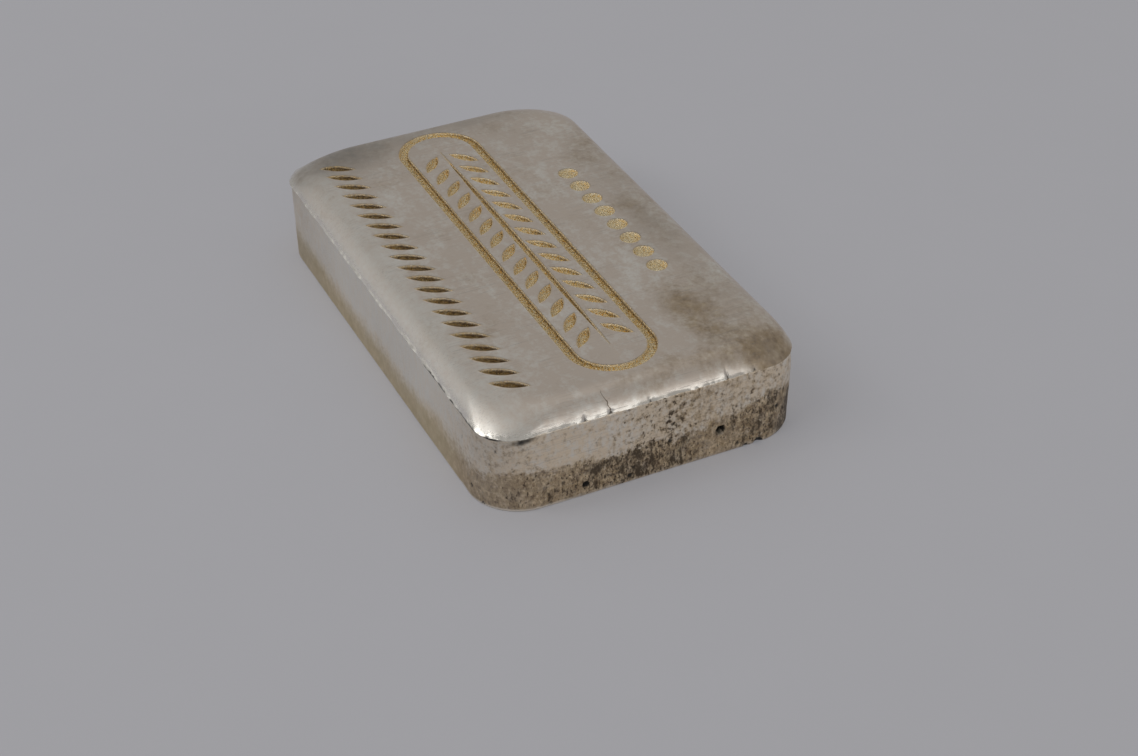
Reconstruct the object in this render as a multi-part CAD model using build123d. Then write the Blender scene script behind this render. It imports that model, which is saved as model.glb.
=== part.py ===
from build123d import *
import os
from math import radians, sin

# Cast and stamped silver bar, lying on its broad flat foot.
# Millimetres, +Z up. X runs along the bar, Y across it.
# The origin is the middle of the foot, on the surface that the bar lies on.

# Bar body
HEIGHT = 12.25
FOOT_LENGTH = 65.5
FOOT_WIDTH = 38.7
FOOT_CORNER_RADIUS = 6.0
FOOT_EDGE_BEVEL = 0.3
WALL_LEAN = 0.23

# Rolled rim, from the crease on the wall up to the flat top
RIM_DROP = 2.35
RIM_WIDTH = 3.4
RIM_LIP = 0.15
RIM_ROUNDNESS = 3.0
CREASE_CORNER_RADIUS = 4.4
TOP_CORNER_RADIUS = 8.7
RIM_SECTIONS = 8

# Round-ended border groove on the top, measured at the middle of the groove
BORDER_END_MARGIN = 4.25
BORDER_WIDTH = 9.4
BORDER_SHIFT = -0.8
GROOVE_WIDTH = 1.2
GROOVE_DEPTH = 0.5
GROOVE_DRAFT = 20.0

# Leaf sprig inside the border
STEM_END_GAP = 3.5
STEM_BREADTH = 0.9
LEAF_LENGTH = 4.2
LEAF_BREADTH = 1.3
LEAF_PITCH = 3.3
LEAF_END_GAP = 6.9
LEAF_ANGLE = 40.0
LEAF_GAP = 0.75

# Slanted rope strokes along one long side
ROPE_LENGTH = 4.6
ROPE_BREADTH = 1.3
ROPE_PITCH = 2.6
ROPE_ANGLE = 58.0
ROPE_END_MARGIN = 6.7
ROPE_SIDE_MARGIN = 5.55

# Round beads along the other long side
BEAD_DIAMETER = 2.5
BEAD_PITCH = 3.4
BEAD_COUNT = 8
BEAD_SIDE_MARGIN = 8.15

# Depth of the sprig, rope and bead marks below the top, and the draft of their walls
MARK_DEPTH = 0.45
MARK_DRAFT = 25.0

border_length = FOOT_LENGTH - 2 * BORDER_END_MARGIN


def outline(inset, z, corner_radius):
    """Rounded rectangle that stands the given inset inside the foot, at height z."""
    section = RectangleRounded(FOOT_LENGTH - 2 * inset, FOOT_WIDTH - 2 * inset, corner_radius)
    return Pos(0, 0, z) * section


def body():
    """Block from the bevelled foot up to the crease, with slightly leaning walls."""
    foot = outline(FOOT_EDGE_BEVEL, 0, FOOT_CORNER_RADIUS - FOOT_EDGE_BEVEL)
    wall_foot = outline(0, FOOT_EDGE_BEVEL, FOOT_CORNER_RADIUS)
    wall_top = outline(WALL_LEAN, HEIGHT - RIM_DROP, CREASE_CORNER_RADIUS)
    return loft([foot, wall_foot, wall_top], ruled=True)


def rim():
    """Rolled cap: steep at the crease, easing into the flat top, with corners that widen as it rises."""
    sections = []
    for step in range(RIM_SECTIONS):
        roll = step / (RIM_SECTIONS - 1)
        rise = 1 - (1 - roll) ** RIM_ROUNDNESS
        inset = WALL_LEAN - RIM_LIP + RIM_WIDTH * roll
        corner = CREASE_CORNER_RADIUS + (TOP_CORNER_RADIUS - CREASE_CORNER_RADIUS) * rise
        sections.append(outline(inset, HEIGHT - RIM_DROP * (1 - rise), corner))
    return loft(sections, ruled=True)


def pressed(mouth, depth, draft):
    """Cutter that presses a drafted pocket of the given mouth into the top."""
    return Pos(0, 0, HEIGHT) * extrude(mouth, amount=-depth, taper=draft)


def border():
    """Groove all round a slot with round ends."""
    outer = SlotOverall(border_length + GROOVE_WIDTH, BORDER_WIDTH + GROOVE_WIDTH)
    inner = SlotOverall(border_length - GROOVE_WIDTH, BORDER_WIDTH - GROOVE_WIDTH)
    island = pressed(inner, GROOVE_DEPTH, -GROOVE_DRAFT)
    return Pos(0, BORDER_SHIFT, 0) * (pressed(outer, GROOVE_DEPTH, GROOVE_DRAFT) - island)


def stroke(length, breadth):
    """Cutter of one leaf-shaped stroke along X, between two arcs."""
    half = length / 2
    bow = ThreePointArc((half, 0), (0, breadth / 2), (-half, 0))
    return pressed(make_face([bow, mirror(bow, Plane.XZ)]), MARK_DEPTH, MARK_DRAFT)


def spaced(count, pitch):
    """Places of a row of marks, centred on the middle of the bar."""
    return [(index - (count - 1) / 2) * pitch for index in range(count)]


def filled(run, pitch):
    """Places of as many marks as the run has room for."""
    return spaced(int(run / pitch) + 1, pitch)


def sprig():
    """Stem along the middle line of the border, with pairs of leaves on both sides."""
    leaf = stroke(LEAF_LENGTH, LEAF_BREADTH)
    reach = LEAF_LENGTH / 2 * sin(radians(LEAF_ANGLE))
    stem = stroke(border_length - 2 * STEM_END_GAP, STEM_BREADTH)
    marks = [Pos(0, BORDER_SHIFT, 0) * stem]
    for x in filled(border_length - 2 * LEAF_END_GAP, LEAF_PITCH):
        for side in (1, -1):
            middle = Pos(x, BORDER_SHIFT + side * (LEAF_GAP + reach), 0)
            marks.append(middle * Rot(0, 0, side * LEAF_ANGLE) * leaf)
    return marks


def rope():
    """Row of slanted strokes."""
    strand = Rot(0, 0, ROPE_ANGLE) * stroke(ROPE_LENGTH, ROPE_BREADTH)
    y = ROPE_SIDE_MARGIN - FOOT_WIDTH / 2
    return [Pos(x, y, 0) * strand for x in filled(FOOT_LENGTH - 2 * ROPE_END_MARGIN, ROPE_PITCH)]


def beads():
    """Row of round dimples."""
    bead = pressed(Circle(BEAD_DIAMETER / 2), MARK_DEPTH, MARK_DRAFT)
    y = FOOT_WIDTH / 2 - BEAD_SIDE_MARGIN
    return [Pos(x, y, 0) * bead for x in spaced(BEAD_COUNT, BEAD_PITCH)]


silver_bar = body() + rim() - [border(), *sprig(), *rope(), *beads()]

os.makedirs("parts", exist_ok=True)
export_step(silver_bar, "parts/silver_bar.step")
print(f"silver_bar volume {silver_bar.volume / 1000:.3f} cm3")
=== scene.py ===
"""Looks of a cast and stamped silver bar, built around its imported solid."""
import logging
from dataclasses import dataclass, field
from enum import Enum
from math import ceil, cos, hypot, pi, radians, sin, tan

import bpy
import numpy as np
from mathutils import Matrix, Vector
from mathutils.geometry import delaunay_2d_cdt


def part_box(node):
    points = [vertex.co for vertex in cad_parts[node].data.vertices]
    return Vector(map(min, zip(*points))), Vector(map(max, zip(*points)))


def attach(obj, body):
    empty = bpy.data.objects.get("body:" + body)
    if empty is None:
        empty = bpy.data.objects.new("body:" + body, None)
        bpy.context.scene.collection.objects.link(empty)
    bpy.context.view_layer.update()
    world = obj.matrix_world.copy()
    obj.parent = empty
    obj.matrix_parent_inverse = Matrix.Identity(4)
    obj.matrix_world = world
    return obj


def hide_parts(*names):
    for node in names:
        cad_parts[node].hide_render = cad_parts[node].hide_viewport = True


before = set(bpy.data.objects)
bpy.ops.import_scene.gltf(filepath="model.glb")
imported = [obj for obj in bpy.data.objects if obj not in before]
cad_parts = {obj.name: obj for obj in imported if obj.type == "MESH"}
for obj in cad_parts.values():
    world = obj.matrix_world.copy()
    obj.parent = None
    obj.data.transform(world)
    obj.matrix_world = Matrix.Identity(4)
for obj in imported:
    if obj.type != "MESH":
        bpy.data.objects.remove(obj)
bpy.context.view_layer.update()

NODE = "silver_bar"
BODY = "root"
MM = 0.001
LOG = logging.getLogger(NODE)
Array = np.ndarray
Colour = tuple[float, float, float, float]
Socket = bpy.types.NodeSocket

# Signs of x and y in the four quarters of the bar, anticlockwise from the middle of the +X end
QUARTER_SIGNS = ((1.0, 1.0), (-1.0, 1.0), (-1.0, -1.0), (1.0, -1.0))


class Mask(Enum):
    """Point attributes that the silver finish reads."""

    WALL = "wall"
    FILM = "film"
    TARNISH = "tarnish"
    # Soot, and the painted dark reflection on the blunt corner
    SOOT_AND_SHADE = "soot"
    GROOVE = "groove"
    # Toning of the marks, with painted shade on their walls that face -Y
    DARK = "dark_toning_and_shade"
    # Painted shade in the pits, the nicks, the crevice under the lip and the fold
    PAINTED_SHADE = "painted_shade"
    # Worn edges, and the painted highlight on the large pit's lower edge
    WORN_AND_LIT = "worn_and_lit_edge"
    # Grey film, and the painted dark reflection on the blunt corner
    GREY_AND_SHADE = "grey_film_and_shade"


def ease(value: Array) -> Array:
    """Smooth step of a value from 0 to 1."""
    share = np.clip(value, 0.0, 1.0)
    return share * share * (3.0 - 2.0 * share)


def bump(offset: Array, width: float) -> Array:
    """Bell of height 1 about offset 0."""
    return np.exp(-((offset / width) ** 2))


class Grain:
    """Smooth random field read from a seeded lattice of values that repeats."""

    CELLS = 48

    def __init__(self, seed: int) -> None:
        """Fills the lattice with seeded values from -1 to 1."""
        self.lattice = np.random.default_rng(seed).uniform(-1.0, 1.0, (self.CELLS,) * 3)

    def at(self, points: Array, lump: float) -> Array:
        """Reads the field.

        Args:
            points: Places in millimetres, one row each.
            lump: Width of a lump of the field, in millimetres.

        Returns:
            One value from about -1 to 1 for each place.
        """
        scaled = points / lump
        cell = np.floor(scaled).astype(int)
        blend = ease(scaled - cell)
        total = np.zeros(len(points))
        for corner in np.ndindex(2, 2, 2):
            step = np.array(corner)
            weight = np.prod(np.where(step, blend, 1.0 - blend), axis=1)
            index = (cell + step) % self.CELLS
            total += weight * self.lattice[index[:, 0], index[:, 1], index[:, 2]]
        return total


@dataclass(frozen=True)
class Ripple:
    """Random unevenness in a few layers, in millimetres."""

    heights: tuple[float, ...]
    lumps: tuple[float, ...]

    def at(self, grain: Grain, points: Array) -> Array:
        """Height of the unevenness at each point."""
        layers = zip(self.heights, self.lumps)
        return sum(height * grain.at(points, lump) for height, lump in layers)


@dataclass(frozen=True)
class Patches:
    """Random patches, with lumps in millimetres, in which more or less of a flaw shows."""

    lump: float
    middle: float
    swing: float
    most: float = 1.0

    def at(self, grain: Grain, points: Array) -> Array:
        """Share of the flaw that shows at each point."""
        return np.clip(self.middle + self.swing * grain.at(points, self.lump), 0.0, self.most)


@dataclass(frozen=True)
class Profile:
    """Value that changes along the bar or across it, in straight steps between places."""

    places: tuple[float, ...]
    values: tuple[float, ...]

    @classmethod
    def steady(cls, value: float) -> "Profile":
        """Profile with one value everywhere."""
        return cls((0.0,), (value,))

    def at(self, places: Array) -> Array:
        """Value at each place."""
        return np.interp(places, self.places, self.values)


@dataclass(frozen=True)
class WallValue:
    """Value across the +X end, along the -Y side and on the other walls."""

    end: Profile
    side: Profile
    far: float

    def at(self, points: Array, facing: Array) -> Array:
        """Blends the values by the way that the wall faces.

        Args:
            points: x, y, z rows on the wall.
            facing: Outward x, y directions of the wall.

        Returns:
            One value for each row.
        """
        to_end = np.maximum(facing[:, 0], 0.0) ** 2
        to_side = np.maximum(-facing[:, 1], 0.0) ** 2
        end = self.end.at(points[:, 1])
        side = self.side.at(points[:, 0])
        return end * to_end + side * to_side + self.far * (1.0 - to_end - to_side)


@dataclass(frozen=True)
class Outline:
    """Rounded rectangle seen from above, in millimetres."""

    half_length: float
    half_width: float
    corner_radius: float

    def quarter(self, shares: Array) -> Array:
        """Walks from the middle of the +X end to the middle of the +Y side.

        Args:
            shares: How far along the way each point lies, from 0 to 1.

        Returns:
            One x, y row for each share.
        """
        radius = self.corner_radius
        end_run = self.half_width - radius
        corner_run = radius * pi / 2
        side_run = self.half_length - radius
        way = shares * (end_run + corner_run + side_run)
        turn = np.clip((way - end_run) / radius, 0.0, pi / 2)
        side_way = np.clip(way - end_run - corner_run, 0.0, None)
        x = self.half_length - radius + radius * np.cos(turn) - side_way
        y = np.minimum(way, end_run) + radius * np.sin(turn)
        return np.column_stack((x, y))

    def loop(self, stations: "Stations") -> Array:
        """Points all round, anticlockwise from the middle of the +X end.

        Args:
            stations: How many points each quarter has.

        Returns:
            One x, y row for each station.
        """
        quarters = zip(stations.shares(), QUARTER_SIGNS)
        return np.vstack([self.quarter(shares) * signs for shares, signs in quarters])

    def distance(self, points: Array) -> Array:
        """Signed distance of points from the outline, negative inside.

        Args:
            points: x, y rows.

        Returns:
            One distance for each row.
        """
        inner = (self.half_length - self.corner_radius, self.half_width - self.corner_radius)
        reach = np.abs(points) - inner
        outside = np.hypot(np.maximum(reach[:, 0], 0.0), np.maximum(reach[:, 1], 0.0))
        inside = np.minimum(np.max(reach, axis=1), 0.0)
        return outside + inside - self.corner_radius


@dataclass(frozen=True)
class Stations:
    """Numbers of points round an outline, for the end part and the side part of each quarter."""

    end_counts: tuple[int, int, int, int]
    side_counts: tuple[int, int, int, int]
    end_share: float

    def shares(self) -> list[Array]:
        """How far along its quarter each point lies.

        Returns:
            One row of shares for each quarter, anticlockwise from the +X end.
        """
        rows = []
        for number, (end, side) in enumerate(zip(self.end_counts, self.side_counts)):
            on_end = np.linspace(0.0, self.end_share, end, endpoint=False)
            on_side = np.linspace(self.end_share, 1.0, side + 1)
            shares = np.concatenate((on_end, on_side))
            rows.append(shares[:-1] if number % 2 == 0 else shares[:0:-1])
        return rows

    def total(self) -> int:
        """Number of points in a whole loop."""
        return sum(self.end_counts) + sum(self.side_counts)


BAR_STATIONS = Stations((165, 92, 92, 165), (100, 98, 98, 100), 0.46)


@dataclass(frozen=True)
class BarForm:
    """Plain form of the bar in millimetres, as its solid has it."""

    length: float
    width: float
    height: float
    foot_corner_radius: float = 6.0
    foot_bevel: float = 0.3
    wall_lean: float = 0.23
    rim_drop: float = 2.35
    rim_width: float = 3.4
    rim_lip: float = 0.15
    rim_roundness: float = 3.0
    crease_corner_radius: float = 4.4
    top_corner_radius: float = 8.7
    halvings: int = 24

    @property
    def crease_height(self) -> float:
        """Height of the crease under the rolled rim."""
        return self.height - self.rim_drop

    def outline(self, inset: float, corner_radius: float) -> Outline:
        """Outline that stands inside the foot by an inset."""
        return Outline(self.length / 2 - inset, self.width / 2 - inset, corner_radius)

    def wall_outline(self, z: float) -> Outline:
        """Outline of the leaning wall at a height.

        Args:
            z: Height above the foot.

        Returns:
            The outline.
        """
        share = (z - self.foot_bevel) / (self.crease_height - self.foot_bevel)
        change = self.crease_corner_radius - self.foot_corner_radius
        return self.outline(self.wall_lean * share, self.foot_corner_radius + change * share)

    def rise(self, roll: Array | float) -> Array | float:
        """Share of the rim's drop that is climbed where a share of its width is rolled in."""
        return 1.0 - (1.0 - np.clip(roll, 0.0, 1.0)) ** self.rim_roundness

    def rim_inset(self, roll: Array | float) -> Array | float:
        """Distance inside the foot where a share of the rim's width is rolled in."""
        return self.wall_lean - self.rim_lip + self.rim_width * roll

    def rim_corner(self, roll: Array | float) -> Array | float:
        """Corner radius of the rim where a share of its width is rolled in."""
        change = self.top_corner_radius - self.crease_corner_radius
        return self.crease_corner_radius + change * self.rise(roll)

    def rim_outline(self, roll: float) -> Outline:
        """Outline of the rim where a share of its width is rolled in."""
        return self.outline(self.rim_inset(roll), float(self.rim_corner(roll)))

    def rim_height(self, roll: Array | float) -> Array | float:
        """Height of the rim where a share of its width is rolled in."""
        return self.height - self.rim_drop * (1.0 - self.rise(roll))

    def top_height(self, points: Array) -> Array:
        """Height of the plain top, flat in the middle and rolled down at the rim.

        Args:
            points: x, y rows inside the crease.

        Returns:
            One height for each row.
        """
        low = np.zeros(len(points))
        high = np.ones(len(points))
        for _ in range(self.halvings):
            middle = (low + high) / 2
            outside = self._rim_distance(points, middle) > 0.0
            high = np.where(outside, middle, high)
            low = np.where(outside, low, middle)
        return self.rim_height((low + high) / 2)

    def _rim_distance(self, points: Array, roll: Array) -> Array:
        """Signed distance of each point from the rim outline of its own roll.

        Args:
            points: x, y rows.
            roll: One share of the rim's width for each row.

        Returns:
            One distance for each row, negative inside.
        """
        inset = self.rim_inset(roll)
        radius = self.rim_corner(roll)
        reach_x = np.abs(points[:, 0]) - (self.length / 2 - inset - radius)
        reach_y = np.abs(points[:, 1]) - (self.width / 2 - inset - radius)
        outside = np.hypot(np.maximum(reach_x, 0.0), np.maximum(reach_y, 0.0))
        inside = np.minimum(np.maximum(reach_x, reach_y), 0.0)
        return outside + inside - radius


@dataclass(frozen=True)
class Mark:
    """Stamped mark in the top, in millimetres."""

    x: float
    y: float
    depth: float
    draft: float
    darkness: float

    @property
    def wall_run(self) -> float:
        """Width of the mark's sloping wall, seen from above."""
        return self.depth * tan(self.draft)

    def local(self, points: Array) -> Array:
        """Points measured from the middle of the mark."""
        return points - (self.x, self.y)

    def distance(self, points: Array) -> Array:
        """Signed distance of points from the mouth of the mark, negative inside."""
        raise NotImplementedError

    def loops(self, offset: float, spacing: float) -> list[Array]:
        """Closed loops of points that follow the mouth at an offset."""
        raise NotImplementedError


@dataclass(frozen=True)
class Stroke(Mark):
    """Leaf-shaped mark between two arcs."""

    length: float
    breadth: float
    turn: float

    @property
    def arc_radius(self) -> float:
        """Radius of the two arcs."""
        return (self.length**2 / 4 + self.breadth**2 / 4) / self.breadth

    @property
    def arc_shift(self) -> float:
        """Distance of the arcs' centres from the middle line."""
        return self.arc_radius - self.breadth / 2

    def distance(self, points: Array) -> Array:
        """Signed distance of points from the mouth, negative inside.

        Args:
            points: x, y rows.

        Returns:
            One distance for each row.
        """
        offset = self.local(points)
        along = offset[:, 0] * cos(self.turn) + offset[:, 1] * sin(self.turn)
        across = np.abs(offset[:, 1] * cos(self.turn) - offset[:, 0] * sin(self.turn))
        return np.hypot(along, across + self.arc_shift) - self.arc_radius

    def loops(self, offset: float, spacing: float) -> list[Array]:
        """Loop round the leaf shape at an offset from its mouth.

        Args:
            offset: Distance outwards from the mouth, negative inwards.
            spacing: Distance between points.

        Returns:
            One loop, or none where the leaf is too narrow.
        """
        radius = self.arc_radius + offset
        if radius - self.arc_shift < spacing / 4:
            return []
        swing = np.arccos(self.arc_shift / radius)
        count = max(4, ceil(2 * swing * radius / spacing))
        angle = np.linspace(-swing, swing, count + 1)[:-1]
        along = radius * np.sin(angle)
        across = radius * np.cos(angle) - self.arc_shift
        local = np.vstack((np.column_stack((along, across)), np.column_stack((-along, -across))))
        spin = np.array([[cos(self.turn), sin(self.turn)], [-sin(self.turn), cos(self.turn)]])
        return [local @ spin + (self.x, self.y)]


@dataclass(frozen=True)
class Bead(Mark):
    """Round mark."""

    diameter: float

    def distance(self, points: Array) -> Array:
        """Signed distance of points from the mouth, negative inside."""
        return np.hypot(*self.local(points).T) - self.diameter / 2

    def loops(self, offset: float, spacing: float) -> list[Array]:
        """Loop round the bead at an offset from its mouth.

        Args:
            offset: Distance outwards from the mouth, negative inwards.
            spacing: Distance between points.

        Returns:
            One loop, or none where the bead is too small.
        """
        radius = self.diameter / 2 + offset
        if radius < spacing / 2:
            return []
        angle = np.linspace(0.0, 2 * pi, ceil(2 * pi * radius / spacing) + 1)[:-1]
        return [np.column_stack((np.cos(angle), np.sin(angle))) * radius + (self.x, self.y)]


@dataclass(frozen=True)
class Border(Mark):
    """Groove all round a slot with round ends."""

    length: float
    width: float
    groove_width: float
    end_roundness: float = 0.9999

    def distance(self, points: Array) -> Array:
        """Signed distance of points from the groove's mouth, negative inside it.

        Args:
            points: x, y rows.

        Returns:
            One distance for each row.
        """
        offset = self.local(points)
        straight = (self.length - self.width) / 2
        past_end = np.maximum(np.abs(offset[:, 0]) - straight, 0.0)
        return np.abs(np.hypot(past_end, offset[:, 1]) - self.width / 2) - self.groove_width / 2

    def loops(self, offset: float, spacing: float) -> list[Array]:
        """Outer and inner loop of the groove at an offset from its mouth.

        Args:
            offset: Distance outwards from the mouth, negative into the groove.
            spacing: Distance between points.

        Returns:
            The two loops.
        """
        loops = []
        for side in (1.0, -1.0):
            radius = self.width / 2 + side * (self.groove_width / 2 + offset)
            straight = (self.length - self.width) / 2
            slot = Outline(straight + radius, radius, radius * self.end_roundness)
            quarter_length = straight + radius * pi / 2
            counts = (ceil(quarter_length / spacing / 2),) * 4
            loops.append(slot.loop(Stations(counts, counts, 0.5)) + (self.x, self.y))
        return loops


@dataclass(frozen=True)
class StampSet:
    """Sizes and places of the stamped marks in millimetres, as the solid has them."""

    # Border groove
    border_end_margin: float = 4.25
    border_width: float = 9.4
    border_shift: float = -0.8
    groove_width: float = 1.2
    groove_depth: float = 0.5
    groove_draft: float = radians(20.0)
    # Leaf sprig inside the border
    stem_end_gap: float = 3.5
    stem_breadth: float = 0.9
    leaf_length: float = 4.2
    leaf_breadth: float = 1.3
    leaf_pitch: float = 3.3
    leaf_end_gap: float = 6.9
    leaf_angle: float = radians(40.0)
    leaf_gap: float = 0.75
    # Slanted rope strokes along the -Y side
    rope_length: float = 4.6
    rope_breadth: float = 1.3
    rope_pitch: float = 2.6
    rope_angle: float = radians(58.0)
    rope_end_margin: float = 6.7
    rope_side_margin: float = 5.55
    # Round beads along the +Y side
    bead_diameter: float = 2.5
    bead_pitch: float = 3.4
    bead_count: int = 8
    bead_side_margin: float = 8.15
    # Depth and draft of the sprig, rope and bead marks
    mark_depth: float = 0.45
    mark_draft: float = radians(25.0)
    # Toning of the marks, from -1 for pale to 1 for dark
    border_darkness: float = -0.25
    sprig_darkness: float = -0.3
    rope_darkness: float = 0.4
    bead_darkness: float = -0.9
    # Small errors of the hand punch
    hand_shift: float = 0.05
    hand_turn: float = radians(1.5)
    seed: int = 11

    @staticmethod
    def spaced(count: int, pitch: float) -> list[float]:
        """Places of a row of marks, centred on the middle of the bar."""
        return [(index - (count - 1) / 2) * pitch for index in range(count)]

    def filled(self, run: float, pitch: float) -> list[float]:
        """Places of as many marks as a run has room for."""
        return self.spaced(int(run / pitch) + 1, pitch)

    def stroke(self, rng: np.random.Generator, x: float, y: float, turn: float,
               size: tuple[float, float], darkness: float) -> Stroke:
        """One stroke, a little off its place as a hand punch leaves it.

        Args:
            rng: Seeded source of the small errors.
            x: Place along the bar.
            y: Place across the bar.
            turn: Angle of the stroke from the bar's length.
            size: Length and breadth of the stroke.
            darkness: How dark its toning is, from -1 for pale to 1 for dark.

        Returns:
            The stroke.
        """
        shift_x, shift_y, twist = rng.uniform(-1.0, 1.0, 3)
        return Stroke(x + shift_x * self.hand_shift, y + shift_y * self.hand_shift,
                      self.mark_depth, self.mark_draft, darkness,
                      size[0], size[1], turn + twist * self.hand_turn)

    def marks(self, form: BarForm) -> list[Mark]:
        """All marks on the top of the bar.

        Args:
            form: Plain form of the bar.

        Returns:
            The border, the sprig inside it, the rope row and the bead row.
        """
        rng = np.random.default_rng(self.seed)
        border_length = form.length - 2 * self.border_end_margin
        marks: list[Mark] = [
            Border(0.0, self.border_shift, self.groove_depth, self.groove_draft,
                   self.border_darkness, border_length, self.border_width, self.groove_width),
            Stroke(0.0, self.border_shift, self.mark_depth, self.mark_draft, self.sprig_darkness,
                   border_length - 2 * self.stem_end_gap, self.stem_breadth, 0.0),
        ]
        leaf_size = (self.leaf_length, self.leaf_breadth)
        reach = self.leaf_gap + self.leaf_length / 2 * sin(self.leaf_angle)
        for x in self.filled(border_length - 2 * self.leaf_end_gap, self.leaf_pitch):
            for side in (1, -1):
                y = self.border_shift + side * reach
                turn = side * self.leaf_angle
                marks.append(self.stroke(rng, x, y, turn, leaf_size, self.sprig_darkness))
        rope_size = (self.rope_length, self.rope_breadth)
        rope_y = self.rope_side_margin - form.width / 2
        for x in self.filled(form.length - 2 * self.rope_end_margin, self.rope_pitch):
            marks.append(self.stroke(rng, x, rope_y, self.rope_angle, rope_size, self.rope_darkness))
        bead_y = form.width / 2 - self.bead_side_margin
        for x in self.spaced(self.bead_count, self.bead_pitch):
            marks.append(Bead(x, bead_y, self.mark_depth, self.mark_draft,
                              self.bead_darkness, self.bead_diameter))
        return marks


@dataclass(frozen=True)
class Pit:
    """Hole or chip left in the casting, in millimetres, with slopes as shares of its radius."""

    place: tuple[float, float, float]
    radius: float
    depth: float
    slope: float = 0.45
    # Spread and depth of the painted shade in the pit
    dark_slope: float = 0.2
    dark_depth: float = 0.3
    lip_at: float = 0.7
    lip_spread: float = 0.25

    def reach(self, points: Array) -> Array:
        """Distance of each point from the middle of the pit."""
        return np.linalg.norm(points - self.place, axis=1)

    def share(self, points: Array) -> Array:
        """How deep each point lies in the pit, from 0 to 1."""
        return ease((1.0 - self.reach(points) / self.radius) / self.slope)

    def darkness(self, points: Array) -> Array:
        """How much shade is painted at each point in the pit, from 0 to 1."""
        dark = ease((1.0 - self.reach(points) / self.radius) / self.dark_slope)
        return dark * min(1.0, self.depth / self.dark_depth)

    def lower_lip(self, points: Array) -> Array:
        """How near each point lies to the lower edge of the pit.

        Args:
            points: x, y, z rows.

        Returns:
            One share from 0 to 1 for each row.
        """
        edge = self.reach(points) - self.lip_at * self.radius
        lower = ease((self.place[2] - points[:, 2]) / self.radius)
        return bump(edge, self.lip_spread * self.radius) * lower


@dataclass(frozen=True)
class Nick:
    """Small tear in the lip of the rim on the +X end, in millimetres."""

    y: float
    width: float
    rise: float
    depth: float

    def share(self, points: Array, crease_height: float) -> Array:
        """How deep each point lies in the nick, from 0 to 1."""
        above = np.maximum(points[:, 2] - crease_height, 0.0)
        return bump(points[:, 1] - self.y, self.width) * bump(above, self.rise)


@dataclass(frozen=True)
class Stain:
    """Soft blotch on the top, in millimetres, brown or partly grey."""

    x: float
    y: float
    reach_x: float
    reach_y: float
    strength: float
    grey: float = 0.0

    def share(self, points: Array) -> Array:
        """How strongly each point is stained."""
        spread_x = bump(points[:, 0] - self.x, self.reach_x)
        return self.strength * spread_x * bump(points[:, 1] - self.y, self.reach_y)


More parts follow.
